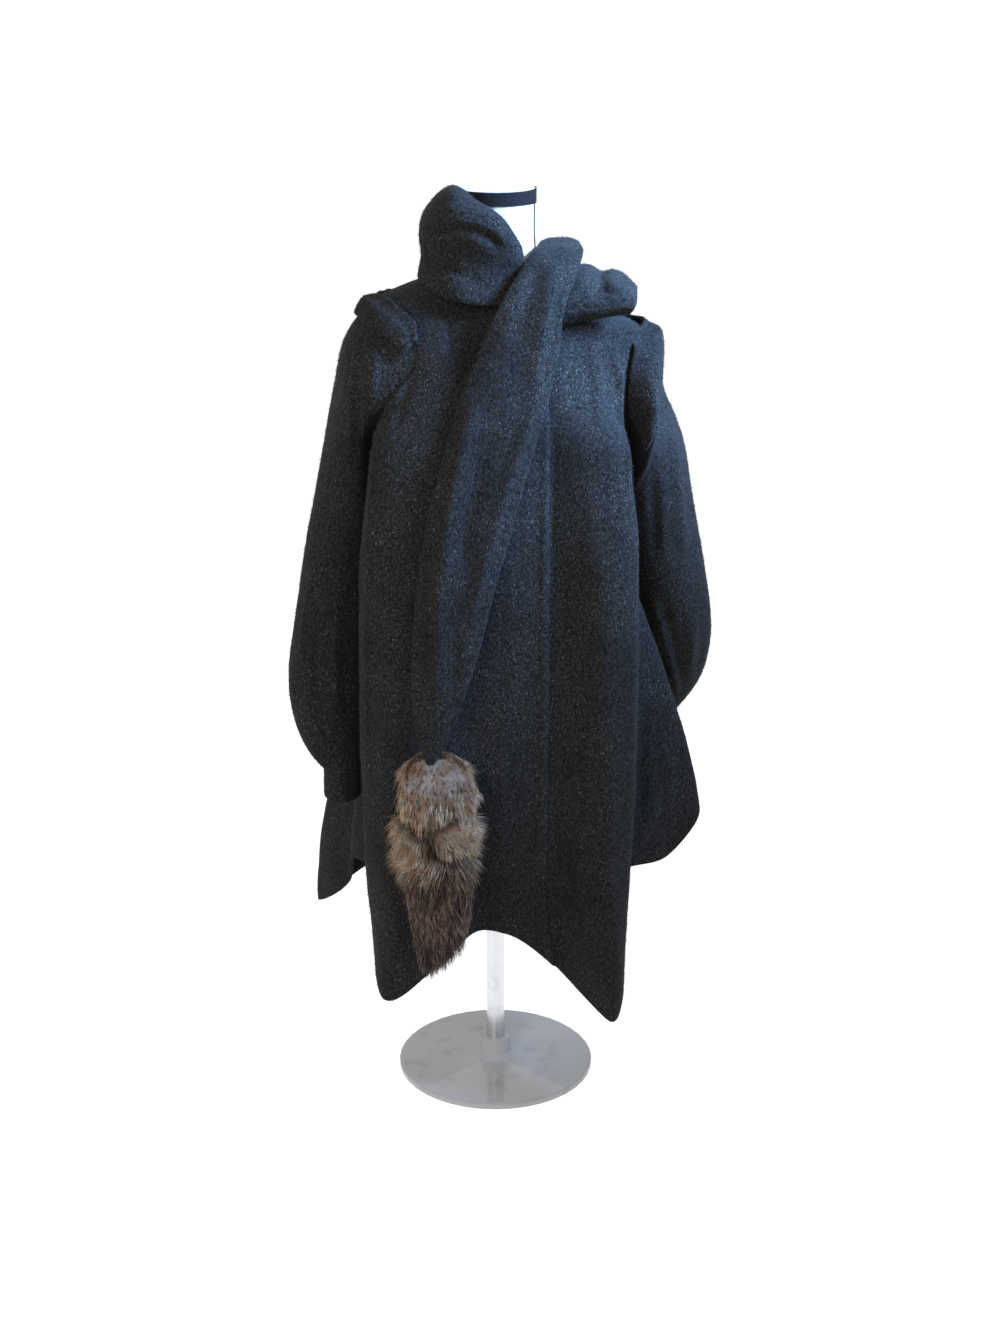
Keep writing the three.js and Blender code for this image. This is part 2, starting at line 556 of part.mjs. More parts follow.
function sleeveSection(side, row, share) {
  const turn = 2 * Math.PI * share;
  const outward = row.width * Math.cos(turn);
  return point(
    side * (row.x + outward * Math.cos(rad(row.tilt))),
    row.y - row.depth * Math.sin(turn),
    row.z + outward * Math.sin(rad(row.tilt)),
  );
}

// Rows of a sleeve's head, from the armhole to the first section of the arm.
function sleeveHead(side, sections) {
  const edge = ARMHOLE_EDGE.map((place) => armholePoint(side, place));
  const centre = middle(edge.map(({ p }) => p));
  const seam = edge.map(({ p }) => p.clone().addScaledVector(centre.clone().sub(p).normalize(), 3 * SEAM_GAP));
  const rows = [seam];
  const leave = point(side * 0.8, 0, -0.55).normalize();
  for (let i = 1; i <= SLEEVE_HEAD_ROWS; i += 1) {
    const t = i / SLEEVE_HEAD_ROWS;
    const [t2, t3] = [t * t, t * t * t];
    rows.push(
      seam.map((start, k) => {
        const share = k / seam.length;
        const end = sleeveSection(side, sections[0], share);
        const arrive = sleeveSection(side, sections[1], share).sub(end).normalize();
        const length = end.distanceTo(start);
        return start
          .clone()
          .multiplyScalar(2 * t3 - 3 * t2 + 1)
          .addScaledVector(leave, (t3 - 2 * t2 + t) * length)
          .addScaledVector(end, 3 * t2 - 2 * t3)
          .addScaledVector(arrive, (t3 - t2) * length);
      }),
    );
  }
  return { edge, centre, rows };
}

// A sleeve from the armhole to the cuff.
function sleeve(side, sections) {
  const { edge, rows } = sleeveHead(side, sections);
  const inside = rows[0].map((p, k) => p.clone().addScaledVector(edge[k].normal, -CLOTH));
  const grid = [inside, ...rows];
  for (let i = 1; i <= SLEEVE_ROWS; i += 1) {
    const row = curveRow(sections, i / SLEEVE_ROWS);
    grid.push(edge.map((_, k) => sleeveSection(side, row, k / edge.length)));
  }
  return clothGeometry(grid, CLOTH, { ring: true, sign: side });
}

function cuff(side, place) {
  const shares = ARMHOLE_EDGE.map((_, k) => k / ARMHOLE_EDGE.length);
  const grid = [0, 0.5, 1].map((down) => {
    const row = { ...place, z: place.z - down * CUFF_HEIGHT, width: CUFF_WIDTH, depth: CUFF_DEPTH, tilt: 0 };
    return shares.map((share) => sleeveSection(side, row, share));
  });
  return clothGeometry(grid, CLOTH, { ring: true, sign: side });
}

// A shoulder cap: a folded strip from the coat beside the armhole out over the sleeve's head.
function shoulderCap(side, sections, table) {
  const { edge, centre, rows } = sleeveHead(side, sections);
  const centres = rows.map(middle);
  const last = table[table.length - 1].step;
  const grid = Array.from({ length: CAP_ROWS + 1 }, () => []);
  const between = (list, place) => {
    const low = Math.floor(place);
    const pick = (k) => list[(k + list.length) % list.length];
    return pick(low).clone().lerp(pick(low + 1), place - low);
  };
  const beside = edge.map(({ p, normal }) => {
    const away = p.clone().sub(centre).projectOnPlane(normal).normalize();
    return p.clone().addScaledVector(away, CAP_SEAM).addScaledVector(normal, CAP_CLOTH + CAP_CLEARANCE);
  });
  for (let step = last; step >= -last; step -= 0.5) {
    const [reach, lift, swell] = ["reach", "lift", "swell"].map((name) => read(table, "step", name, Math.abs(step)));
    const rise = CAP_SHOULDER_RISE * Math.max(0, 1 - Math.abs(step) / 3);
    grid[0].push(between(beside, step).add(point(0, 0, rise)));
    for (let i = 1; i <= CAP_ROWS; i += 1) {
      const out = i / CAP_ROWS;
      const place = Math.min(reach * out * SLEEVE_HEAD_ROWS, SLEEVE_HEAD_ROWS - 0.001);
      const row = Math.floor(place);
      const on = between(rows[row], step).lerp(between(rows[row + 1], step), place - row);
      const core = centres[row].clone().lerp(centres[row + 1], place - row);
      const off = CAP_CLOTH + CAP_CLEARANCE + lift * out + swell * Math.sin(Math.PI * out);
      grid[i].push(on.clone().addScaledVector(on.clone().sub(core).normalize(), off));
    }
  }
  return clothGeometry(grid, CAP_CLOTH, { sign: -side });
}

// The scarf round the neck: a band that stands up, swells over its waist and closes in at the top.
function neckWrap() {
  const names = ["low", "lowR", "waist", "waistR", "swell", "swellR", "high", "highR"];
  const grid = Array.from({ length: WRAP_TUCK_ROWS + WRAP_OVER_ROWS + 1 }, () => []);
  for (let j = 0; j <= WRAP_COLUMNS; j += 1) {
    const angle = mix(NECK_WRAP[0].angle, NECK_WRAP[NECK_WRAP.length - 1].angle, j / WRAP_COLUMNS);
    const row = Object.fromEntries(names.map((name) => [name, read(NECK_WRAP, "angle", name, angle)]));
    const profile = [
      { z: row.low, r: row.lowR },
      { z: row.waist, r: row.waistR },
      { z: row.swell, r: row.swellR },
    ];
    for (let i = 0; i <= WRAP_TUCK_ROWS + WRAP_OVER_ROWS; i += 1) {
      const turn = (Math.PI / 2) * ((i - WRAP_TUCK_ROWS) / WRAP_OVER_ROWS);
      const over = turn > 0;
      const z = over
        ? mix(row.swell, row.high, Math.sin(turn))
        : mix(row.low, row.swell, i / WRAP_TUCK_ROWS);
      const r = over ? mix(row.highR, row.swellR, Math.cos(turn)) : read(profile, "z", "r", z);
      grid[i].push(point(r * Math.sin(rad(angle)), -r * Math.cos(rad(angle)), z));
    }
  }
  return clothGeometry(grid, SCARF_CLOTH, { sign: -1 });
}

// The scarf's front end: a plump folded band, rounded at both edges, that stands clear of the coat.
function frontFall() {
  const steps = FALL_SPACING;
  const rings = Array.from({ length: steps + 1 }, (_, i) => {
    const row = curveRow(FALL, i / steps);
    const lean = rad(row.lean);
    return Array.from({ length: FALL_POINTS }, (_, k) => {
      const turn = (2 * Math.PI * k) / FALL_POINTS;
      const across = Math.sign(Math.cos(turn)) * Math.abs(Math.cos(turn)) ** 0.7;
      const out = row.thick * Math.sin(turn);
      const bow = 0.12 * row.width * across * across;
      return point(
        row.x + row.width * across,
        row.y - (out - bow) * Math.cos(lean),
        row.z + (out - bow) * Math.sin(lean),
      );
    });
  });
  return loftGeometry(rings);
}

// A strip of scarf with two soft ridges along it.
function scarfStrip(table) {
  const grid = table.map((row) =>
    Array.from({ length: ROLL_COLUMNS + 1 }, (_, j) => {
      const across = j / ROLL_COLUMNS;
      const drop = row.drop * across ** 2 + 6 * (1 - Math.sin(Math.PI * across));
      const ridge = row.ridge * Math.abs(Math.sin(2 * Math.PI * across));
      return point(mix(row.left, row.right, across), row.y, row.z - drop + ridge);
    }),
  );
  return clothGeometry(grid, SCARF_CLOTH);
}

function tail() {
  const rings = TAIL.map((row) =>
    Array.from({ length: TAIL_POINTS }, (_, k) => {
      const turn = (2 * Math.PI * k) / TAIL_POINTS;
      return point(row.x + row.width * Math.cos(turn), row.y + row.depth * Math.sin(turn), row.z);
    }),
  );
  return loftGeometry(rings);
}

function torso() {
  const rings = TORSO.map((row) =>
    Array.from({ length: TORSO_POINTS }, (_, k) => {
      const angle = (360 * k) / TORSO_POINTS;
      const r = roundedDistance(angle, { ...row, left: row.width, right: row.width }, 2.1);
      return point(r * Math.sin(rad(angle)), -r * Math.cos(rad(angle)), row.z);
    }),
  );
  return loftGeometry(rings);
}

// A turned piece about the Z axis, from a closed profile of radius and height pairs.
function turned(profile, sides) {
  const points = profile.map(([radius, height]) => new THREE.Vector2(radius, height));
  return new THREE.LatheGeometry(points, sides).rotateX(Math.PI / 2);
}

function neckBand() {
  const inner = NECK_RADIUS + 1.2;
  const outer = inner + NECK_BAND_WALL;
  const low = NECK_TOP_Z - NECK_BAND_HEIGHT;
  return turned([[inner, low], [outer, low], [outer, NECK_TOP_Z], [inner, NECK_TOP_Z], [inner, low]], 32);
}

function standPole() {
  const low = BASE_HUB_HEIGHT + SEAM_GAP;
  const high = FORM_BOTTOM_Z - SEAM_GAP;
  return turned([[0, low], [POLE_RADIUS, low], [POLE_RADIUS, high], [0, high]], 20);
}

function standBase() {
  const profile = [
    [0, 0],
    [BASE_RADIUS, 0],
    [BASE_RADIUS, BASE_EDGE_HEIGHT - 2],
    [BASE_RADIUS - 4, BASE_EDGE_HEIGHT],
    [BASE_HUB_RADIUS + 12, BASE_EDGE_HEIGHT + 6],
    [BASE_HUB_RADIUS, BASE_EDGE_HEIGHT + 12],
    [BASE_HUB_RADIUS, BASE_HUB_HEIGHT],
    [0, BASE_HUB_HEIGHT],
  ];
  return turned(profile, 40);
}

const part = new THREE.Group();

function add(name, geometry, finish) {
  const mesh = new THREE.Mesh(geometry, new THREE.MeshStandardMaterial(finish));
  mesh.name = name;
  part.add(mesh);
}

add("front_right", rightFront(), WOOL);
add("front_left", leftFront(), WOOL);
add("back", back(), WOOL);
add("sleeve_right", sleeve(-1, RIGHT_SLEEVE), WOOL);
add("sleeve_left", sleeve(1, LEFT_SLEEVE), WOOL);
add("cuff_right", cuff(-1, RIGHT_CUFF), WOOL);
add("cuff_left", cuff(1, LEFT_CUFF), WOOL);
add("shoulder_cap_right", shoulderCap(-1, RIGHT_SLEEVE, RIGHT_CAP), WOOL);
add("shoulder_cap_left", shoulderCap(1, LEFT_SLEEVE, LEFT_CAP), WOOL);
add("scarf_neck_wrap", neckWrap(), WOOL);
add("scarf_front_fall", frontFall(), WOOL);
add("scarf_shoulder_roll", scarfStrip(ROLL), WOOL);
add("scarf_back_end", scarfStrip(BACK_END), WOOL);
add("fur_tail", tail(), FUR);
add("form_torso", torso(), JERSEY);
add("form_neck_band", neckBand(), RIBBON);
add("stand_pole", standPole(), STEEL);
add("stand_base", standBase(), STEEL);

export default part;
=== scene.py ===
"""Looks of a wool cape coat on a limbless dress form: cloth, nap, stitches, fox tail, form, stand and studio.

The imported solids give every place. Tables are in millimetres, Z is up and the coat's front faces -Y.
"""

import logging
import math
from dataclasses import dataclass, field
from enum import Enum
from typing import Sequence

import bmesh
import bpy
import numpy as np
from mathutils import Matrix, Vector, noise
from mathutils.bvhtree import BVHTree


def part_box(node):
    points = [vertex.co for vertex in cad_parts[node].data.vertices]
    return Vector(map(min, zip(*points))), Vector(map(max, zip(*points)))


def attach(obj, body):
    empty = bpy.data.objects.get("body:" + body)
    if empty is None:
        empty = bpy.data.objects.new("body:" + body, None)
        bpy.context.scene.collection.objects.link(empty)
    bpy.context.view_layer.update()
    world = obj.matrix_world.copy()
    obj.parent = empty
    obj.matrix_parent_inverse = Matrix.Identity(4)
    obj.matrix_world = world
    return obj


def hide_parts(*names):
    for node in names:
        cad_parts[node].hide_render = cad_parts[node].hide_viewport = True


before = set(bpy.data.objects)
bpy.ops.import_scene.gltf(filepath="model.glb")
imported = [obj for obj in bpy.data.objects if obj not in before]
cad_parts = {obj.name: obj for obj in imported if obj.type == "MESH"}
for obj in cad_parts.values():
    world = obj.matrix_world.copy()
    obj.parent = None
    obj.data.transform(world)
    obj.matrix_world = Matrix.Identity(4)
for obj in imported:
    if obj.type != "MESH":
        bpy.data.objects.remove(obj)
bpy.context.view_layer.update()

MM = 0.001
NOISE_SEED = 29
BODY = "root"
Colour = tuple[float, float, float]
Point = tuple[float, float]
Place = tuple[float, float, float]

log = logging.getLogger("cape_coat")


class Side(Enum):
    """The side that a line on the cloth is drawn from."""

    FRONT = "front"
    BACK = "back"
    RIGHT = "right"
    LEFT = "left"


class Held(Enum):
    """How a cut sheet of cloth hangs."""

    HUNG = "hung"
    DRAPED = "draped"
    FOLDED = "folded"


# ---------------------------------------------------------------- shading


class Shade:
    """A number or colour on its way through the nodes of a finish."""

    def __init__(self, bench: "Bench", socket: bpy.types.NodeSocket) -> None:
        """Keeps the socket and the bench that its nodes are made on."""
        self.bench = bench
        self.socket = socket

    def __add__(self, other: "Shade | float") -> "Shade":
        """The sum of two numbers."""
        return self.bench.math("ADD", self, other)

    def __mul__(self, other: "Shade | float") -> "Shade":
        """The product of two numbers."""
        return self.bench.math("MULTIPLY", self, other)


class Bench:
    """The node tree of one finish, and the ways to add to it."""

    def __init__(self, name: str) -> None:
        """Starts an empty tree.

        Args:
            name: The finish's name.
        """
        self.material = bpy.data.materials.new(name)
        self.material.use_nodes = True
        self.tree = self.material.node_tree
        self.tree.nodes.clear()

    def node(self, kind: str, settings: dict | None = None, inputs: dict | None = None) -> bpy.types.Node:
        """Adds a node, sets it, and then fills or links its sockets.

        Args:
            kind: The node's type.
            settings: Its own settings by name.
            inputs: A value or a Shade for each socket, by name or number.

        Returns:
            The node.
        """
        node = self.tree.nodes.new(kind)
        for key, value in (settings or {}).items():
            setattr(node, key, value)
        for key, value in (inputs or {}).items():
            if isinstance(value, Shade):
                self.tree.links.new(value.socket, node.inputs[key])
            else:
                node.inputs[key].default_value = value
        return node

    def out(self, node: bpy.types.Node, socket: int | str = 0) -> Shade:
        """One output of a node, ready for expressions."""
        return Shade(self, node.outputs[socket])

    def math(self, operation: str, *terms: "Shade | float") -> Shade:
        """A Math node on numbers."""
        return self.out(self.node("ShaderNodeMath", {"operation": operation}, dict(enumerate(terms))))

    def place(self, stretch: Place = (1.0, 1.0, 1.0)) -> Shade:
        """The point on the piece in its own coordinates.

        Args:
            stretch: A factor for each axis; a small one draws a pattern out along it.

        Returns:
            The place as a vector.
        """
        where = self.out(self.node("ShaderNodeTexCoord"), "Object")
        return self.out(self.node("ShaderNodeMapping", None, {"Vector": where, "Scale": stretch}))

    def grain(self, place: Shade, size_mm: float, detail: float = 2.0, rough: float = 0.5) -> Shade:
        """Noise from 0 to 1 whose lumps are about a size.

        Args:
            place: Where it is read.
            size_mm: The lumps' size.
            detail: How many finer layers it has.
            rough: How strong the finer layers are.

        Returns:
            The noise.
        """
        inputs = {"Vector": place, "Scale": 1.0 / (size_mm * MM), "Detail": detail, "Roughness": rough}
        return self.out(self.node("ShaderNodeTexNoise", {"noise_dimensions": "3D"}, inputs), 0)

    def step(self, value: Shade, low: float, high: float) -> Shade:
        """A smooth step from 0 at low to 1 at high."""
        settings = {"interpolation_type": "SMOOTHSTEP", "clamp": True}
        return self.out(self.node("ShaderNodeMapRange", settings, {0: value, 1: low, 2: high}))

    def mix(self, share: "Shade | float", first: "Shade | Colour", second: "Shade | Colour") -> Shade:
        """A colour between two colours."""
        colours = [c if isinstance(c, Shade) else (*c, 1.0) for c in (first, second)]
        node = self.node("ShaderNodeMix", {"data_type": "RGBA"}, {0: share, 6: colours[0], 7: colours[1]})
        return self.out(node, 2)

    def mark(self, name: str) -> Shade:
        """The piece's own number of that name."""
        return self.out(self.node("ShaderNodeAttribute", {"attribute_name": name}), "Fac")

    def relief(self, height: Shade, depth_mm: float, strength: float) -> Shade:
        """A bumped normal.

        Args:
            height: From 0 to 1.
            depth_mm: How deep 1 is.
            strength: How much of it shows.

        Returns:
            The normal.
        """
        inputs = {"Height": height, "Distance": depth_mm * MM, "Strength": strength}
        return self.out(self.node("ShaderNodeBump", None, inputs))

    def close(self, **sockets: "Shade | float | Colour") -> bpy.types.Material:
        """Ends the tree in one surface shader.

        Args:
            **sockets: The shader's sockets, with _ for each space.

        Returns:
            The finished material.
        """
        inputs = {}
        for key, value in sockets.items():
            plain = isinstance(value, tuple) and len(value) == 3
            inputs[key.replace("_", " ")] = (*value, 1.0) if plain else value
        shader = self.node("ShaderNodeBsdfPrincipled", None, inputs)
        self.node("ShaderNodeOutputMaterial", None, {"Surface": self.out(shader)})
        return self.material


@dataclass(frozen=True)
class Mohair:
    """Brushed charcoal wool: dark ground, upright yarn, pale kemp flecks and a soft sheen."""

    name: str = "mohair_wool"
    ground: Colour = (0.0048, 0.0047, 0.0046)
    yarn: Colour = (0.0290, 0.0282, 0.0276)
    fleck: Colour = (0.19, 0.19, 0.19)
    dust: Colour = (0.082, 0.081, 0.080)

    def material(self) -> bpy.types.Material:
        """Makes the material."""
        bench = Bench(self.name)
        upright = bench.place((1.0, 1.0, 0.42))
        drift = bench.grain(bench.place(), 95.0, 3.0)
        pile = bench.grain(upright, 2.6, 4.0, 0.62)
        fine = bench.grain(upright, 1.0, 2.0)
        clots = bench.grain(bench.place((1.0, 1.0, 0.7)), 2.3, 2.0, 0.7)
        colour = bench.mix(bench.step(pile, 0.36, 0.66), self.ground, self.yarn)
        colour = bench.mix(bench.step(fine, 0.52, 0.68) * bench.step(drift, 0.20, 0.75), colour, self.dust)
        spots = bench.step(clots, 0.60, 0.72) * bench.step(drift, 0.22, 0.62)
        colour = bench.mix(spots, colour, self.fleck)
        height = pile * 0.55 + fine * 0.2 + spots * 0.35
        normal = bench.relief(height, 1.6, 0.75)
        return bench.close(
            Base_Color=colour,
            Roughness=0.92,
            Normal=normal,
            Specular_IOR_Level=0.12,
            Sheen_Weight=0.05,
            Sheen_Roughness=0.5,
            Sheen_Tint=(0.72, 0.76, 0.85),
        )


@dataclass(frozen=True)
class NapHair:
    """The loose hairs that stand on the wool."""

    name: str = "wool_nap"
    dark: Colour = (0.010, 0.010, 0.010)
    pale: Colour = (0.13, 0.13, 0.132)

    def material(self) -> bpy.types.Material:
        """Makes the material."""
        bench = Bench(self.name)
        tone = bench.mark("tone")
        tint = bench.grain(bench.place(), 40.0)
        pale = bench.mix(tint, self.pale, tuple(0.72 * part for part in self.pale))
        colour = bench.mix(tone, self.dark, pale)
        return bench.close(Base_Color=colour, Roughness=0.7, Specular_IOR_Level=0.15)


@dataclass(frozen=True)
class FoxHair:
    """Silver fox hair: dark at the root, pale toward the tip, and dark brown with some pale tips in the tail's end."""

    name: str = "fox_hair"
    root: Colour = (0.085, 0.045, 0.030)
    cream: Colour = (0.66, 0.45, 0.28)
    white: Colour = (0.92, 0.80, 0.64)
    brown: Colour = (0.026, 0.009, 0.008)
    smoke: Colour = (0.74, 0.54, 0.41)

    def material(self) -> bpy.types.Material:
        """Makes the material."""
        bench = Bench(self.name)
        along = bench.mark("along")
        pale = bench.mark("pale")
        tip = bench.mark("tip")
        patch = bench.grain(bench.place(), 20.0, 2.0)
        lock = bench.grain(bench.place((1.0, 1.0, 0.30)), 5.0, 1.0)
        crown = bench.mix(bench.step(patch, 0.44, 0.60), self.cream, self.white)
        crown = bench.mix(bench.step(lock, 0.52, 0.68) * 0.85, crown, self.root)
        light = bench.mix(bench.step(along, 0.0, 0.75), self.root, crown)
        dark = bench.mix(bench.step(along, 0.30, 0.80) * tip, self.brown, self.smoke)
        return bench.close(Base_Color=bench.mix(pale, dark, light), Roughness=0.48, Specular_IOR_Level=0.4)


@dataclass(frozen=True)
class Jersey:
    """White knitted jersey with fine wales."""

    name: str = "white_jersey"
    pale: Colour = (0.88, 0.83, 0.75)
    shade: Colour = (0.62, 0.59, 0.53)

    def material(self) -> bpy.types.Material:
        """Makes the material."""
        bench = Bench(self.name)
        knit = bench.grain(bench.place((1.0, 1.0, 0.35)), 1.1, 2.0)
        age = bench.grain(bench.place(), 60.0, 3.0)
        colour = bench.mix(bench.step(knit, 0.30, 0.62), self.shade, self.pale)
        colour = bench.mix(bench.step(age, 0.45, 0.85) * 0.35, colour, self.shade)
        normal = bench.relief(knit, 0.35, 0.6)
        return bench.close(Base_Color=colour, Roughness=0.85, Normal=normal, Sheen_Weight=0.2)


@dataclass(frozen=True)
class Ribbon:
    """Dark ribbed ribbon."""

    name: str = "dark_ribbon"
    thread: Colour = (0.006, 0.006, 0.007)
    gloss: Colour = (0.018, 0.018, 0.020)

    def material(self) -> bpy.types.Material:
        """Makes the material."""
        bench = Bench(self.name)
        ribs = bench.grain(bench.place((0.25, 0.25, 1.0)), 0.9, 1.0)
        colour = bench.mix(bench.step(ribs, 0.35, 0.65), self.thread, self.gloss)
        normal = bench.relief(ribs, 0.25, 0.5)
        return bench.close(Base_Color=colour, Roughness=0.8, Normal=normal, Specular_IOR_Level=0.12)


@dataclass(frozen=True)
class Steel:
    """Metal of the stand, brushed along its length or painted."""

    name: str
    colour: Colour
    worn: Colour
    metal: float
    rough: float
    stretch: Place = (1.0, 1.0, 1.0)
    coat: float = 0.0

    def material(self) -> bpy.types.Material:
        """Makes the material."""
        bench = Bench(self.name)
        brush = bench.grain(bench.place(self.stretch), 0.8, 3.0)
        wear = bench.grain(bench.place(), 28.0, 4.0)
        colour = bench.mix(bench.step(wear, 0.50, 0.78) * 0.5, self.colour, self.worn)
        rough = brush * 0.12 + (self.rough - 0.06) + bench.step(wear, 0.5, 0.8) * 0.10
        normal = bench.relief(brush, 0.05, 0.25)
        return bench.close(
            Base_Color=colour, Metallic=self.metal, Roughness=rough, Normal=normal, Coat_Weight=self.coat
        )


@dataclass(frozen=True)
class PaleFloor:
    """The plain white floor, lit from within like a light table."""

    name: str = "pale_floor"
    colour: Colour = (0.35, 0.35, 0.35)
    glow: Colour = (1.0, 1.0, 1.0)

    def material(self) -> bpy.types.Material:
        """Makes the material."""
        shine = {"Emission_Color": self.glow, "Emission_Strength": 1.0}
        return Bench(self.name).close(Base_Color=self.colour, Roughness=0.9, Specular_IOR_Level=0.1, **shine)


# ---------------------------------------------------------------- mesh helpers


def read_points(mesh: bpy.types.Mesh, what: str = "co") -> np.ndarray:
    """The mesh's corners, or their normals, as rows of three numbers."""
    values = np.empty(len(mesh.vertices) * 3)
    mesh.vertices.foreach_get(what, values)
    return values.reshape(-1, 3)


def write_points(mesh: bpy.types.Mesh, points: np.ndarray) -> None:
    """Puts the mesh's corners at new places."""
    mesh.vertices.foreach_set("co", points.astype(np.float32).ravel())
    mesh.update()


def unit(rows: np.ndarray) -> np.ndarray:
    """The rows, each made one long."""
    return rows / np.maximum(np.linalg.norm(rows, axis=-1, keepdims=True), 1e-12)


def to_object(
    name: str, bm: bmesh.types.BMesh, material: bpy.types.Material, smooth: bool = True
) -> bpy.types.Object:
    """Turns a bmesh into an object at the origin.

    Args:
        name: The piece's name.
        bm: The bmesh, which is freed.
        material: Its finish.
        smooth: Whether its faces are shaded smooth.

    Returns:
        The object.
    """
    mesh = bpy.data.meshes.new(name)
    for face in bm.faces:
        face.smooth = smooth
    bm.to_mesh(mesh)
    bm.free()
    mesh.materials.append(material)
    made = bpy.data.objects.new(name, mesh)
    bpy.context.scene.collection.objects.link(made)
    return made


def add_piece(made: bpy.types.Object) -> bpy.types.Object:
    """Lets a piece ride on the body."""
    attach(made, BODY)
    log.info("%s: %d faces", made.name, len(made.data.polygons) if made.type == "MESH" else 0)
    return made


def smooth_copy(node: str, name: str, levels: int, rim: float, material: bpy.types.Material) -> bpy.types.Object:
    """A smooth copy of a CAD node that still passes through the node's own corners.

    Args:
        node: The CAD node.
        name: The piece's name.
        levels: How often it is subdivided.
        rim: How sharp its cut edges stay, from 0 to 1.
        material: Its finish.

    Returns:
        The copy, with nothing live on it.
    """
    bm = bmesh.new()
    bm.from_mesh(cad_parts[node].data)
    bmesh.ops.remove_doubles(bm, verts=bm.verts[:], dist=0.04 * MM)
    limits = {"angle_face_threshold": math.radians(40), "angle_shape_threshold": math.radians(70)}
    bmesh.ops.join_triangles(bm, faces=bm.faces[:], **limits)
    sharp = bm.edges.layers.float.get("crease_edge") or bm.edges.layers.float.new("crease_edge")
    for edge in bm.edges:
        if len(edge.link_faces) == 2 and edge.calc_face_angle(0.0) > math.radians(58):
            edge[sharp] = rim
    made = to_object(name, bm, material)
    made.modifiers.new("Smooth", "SUBSURF").levels = levels
    made.modifiers["Smooth"].render_levels = levels
    wanted = read_points(made.data)
    held = wanted.copy()
    for _ in range(2):
        bpy.context.view_layer.update()
        shown = made.evaluated_get(bpy.context.evaluated_depsgraph_get()).to_mesh()
        held += 0.9 * (wanted - read_points(shown)[: len(wanted)])
        write_points(made.data, held)
    bpy.context.view_layer.update()
    seen = made.evaluated_get(bpy.context.evaluated_depsgraph_get())
    final = bpy.data.meshes.new_from_object(seen)
    final.name = name
    made.modifiers.clear()
    made.data = final
    for face in final.polygons:
        face.use_smooth = True
    return made


def sway_at(points: np.ndarray, scale: float) -> np.ndarray:
    """Smooth random vectors at points in metres, with that many lumps a metre."""
    return np.array([noise.noise_vector(Vector(point) * scale) for point in points])


def tree_of(pieces: Sequence[bpy.types.Object]) -> BVHTree:
    """One search tree over the faces of several pieces."""
    points: list = []
    faces: list = []
    for piece in pieces:
        start = len(points)
        points.extend(vertex.co.copy() for vertex in piece.data.vertices)
        faces.extend([start + index for index in face.vertices] for face in piece.data.polygons)
    return BVHTree.FromPolygons(points, faces)


def surface_points(tree: BVHTree, side: Side, line: Sequence[Point], step: float = 8.0) -> list:
    """Where a flat line meets the cloth.

    Args:
        tree: The cloth's faces.
        side: The side that the line is drawn from.
        line: Points in mm: across, which is X from the front or back and Y from a side, and up.
        step: The distance between found points in mm.

    Returns:
        Pairs of a place and an outward normal in metres.
    """
    starts = {Side.FRONT: (1, -1), Side.BACK: (1, 1), Side.RIGHT: (0, -1), Side.LEFT: (0, 1)}
    axis, sign = starts[side]
    found = []
    for (a0, z0), (a1, z1) in zip(line, line[1:]):
        count = max(1, round(math.hypot(a1 - a0, z1 - z0) / step))
        for k in range(count + 1 if (a1, z1) == tuple(line[-1]) else count):
            across, up = a0 + (a1 - a0) * k / count, z0 + (z1 - z0) * k / count
            start = Vector((0.0, 0.0, up * MM))
            start[axis] = sign * 1.0
            start[1 - axis] = across * MM
            way = Vector((0.0, 0.0, 0.0))
            way[axis] = -sign
            hit, normal, _, _ = tree.ray_cast(start, way)
            if hit is not None:
                found.append((hit, normal))
    return found


# ---------------------------------------------------------------- cloth


# The share of a crease's length over which it fades at each end.
END_FADE = 0.18


@dataclass(frozen=True)
class Crease:
    """A fold or furrow drawn on the cloth.

    side, line: where it runs. width: half its width in mm. rise: its height in mm, or its depth below 0.
    """

    side: Side
    line: tuple[Point, ...]
    width: float
    rise: float

    def press(self, points: np.ndarray, tree: BVHTree) -> None:
        """Moves the cloth's points to form the fold.

        Args:
            points: The cloth's points, which are changed.
            tree: The cloth's faces as they were.
        """
        found = surface_points(tree, self.side, self.line)
        if len(found) < 2:
            log.warning("a crease found no cloth at %s", self.line)
            return
        places = np.array([hit for hit, _ in found])
        normals = np.array([normal for _, normal in found])
        normals = unit(sum(np.roll(np.pad(normals, ((2, 2), (0, 0)), "edge"), k, 0) for k in (-2, -1, 0, 1, 2))[2:-2])
        best = np.full(len(points), 1e9)
        move = np.zeros_like(points)
        last = len(places) - 1
        for k in range(last):
            span = places[k + 1] - places[k]
            share = np.clip(((points - places[k]) @ span) / max(span @ span, 1e-12), 0.0, 1.0)
            off = np.linalg.norm(points - places[k] - share[:, None] * span, axis=1)
            near = off < best
            best[near] = off[near]
            ends = np.minimum((k + share) / last, 1 - (k + share) / last)
            height = self.rise * MM * np.clip(ends / END_FADE, 0.0, 1.0) ** 0.7
            move[near] = (normals[k] * height[:, None])[near]
        reach = np.clip(1 - (best / (self.width * MM)) ** 2, 0.0, 1.0) ** 2
        points += move * reach[:, None]


@dataclass(frozen=True)
class Pull:
    """A soft shove that brings a part of a cloth to its neighbour.

    place, reach and move are in mm; reach is the half width along each axis.
    """

    place: Place
    reach: Place
    move: Place

    def shove(self, points: np.ndarray) -> None:
        """Moves the cloth's points, which are changed."""
        off = ((points / MM - self.place) / self.reach) ** 2
        share = np.clip(1 - off.sum(1), 0.0, 1.0) ** 1.5
        points += np.array(self.move) * MM * share[:, None]


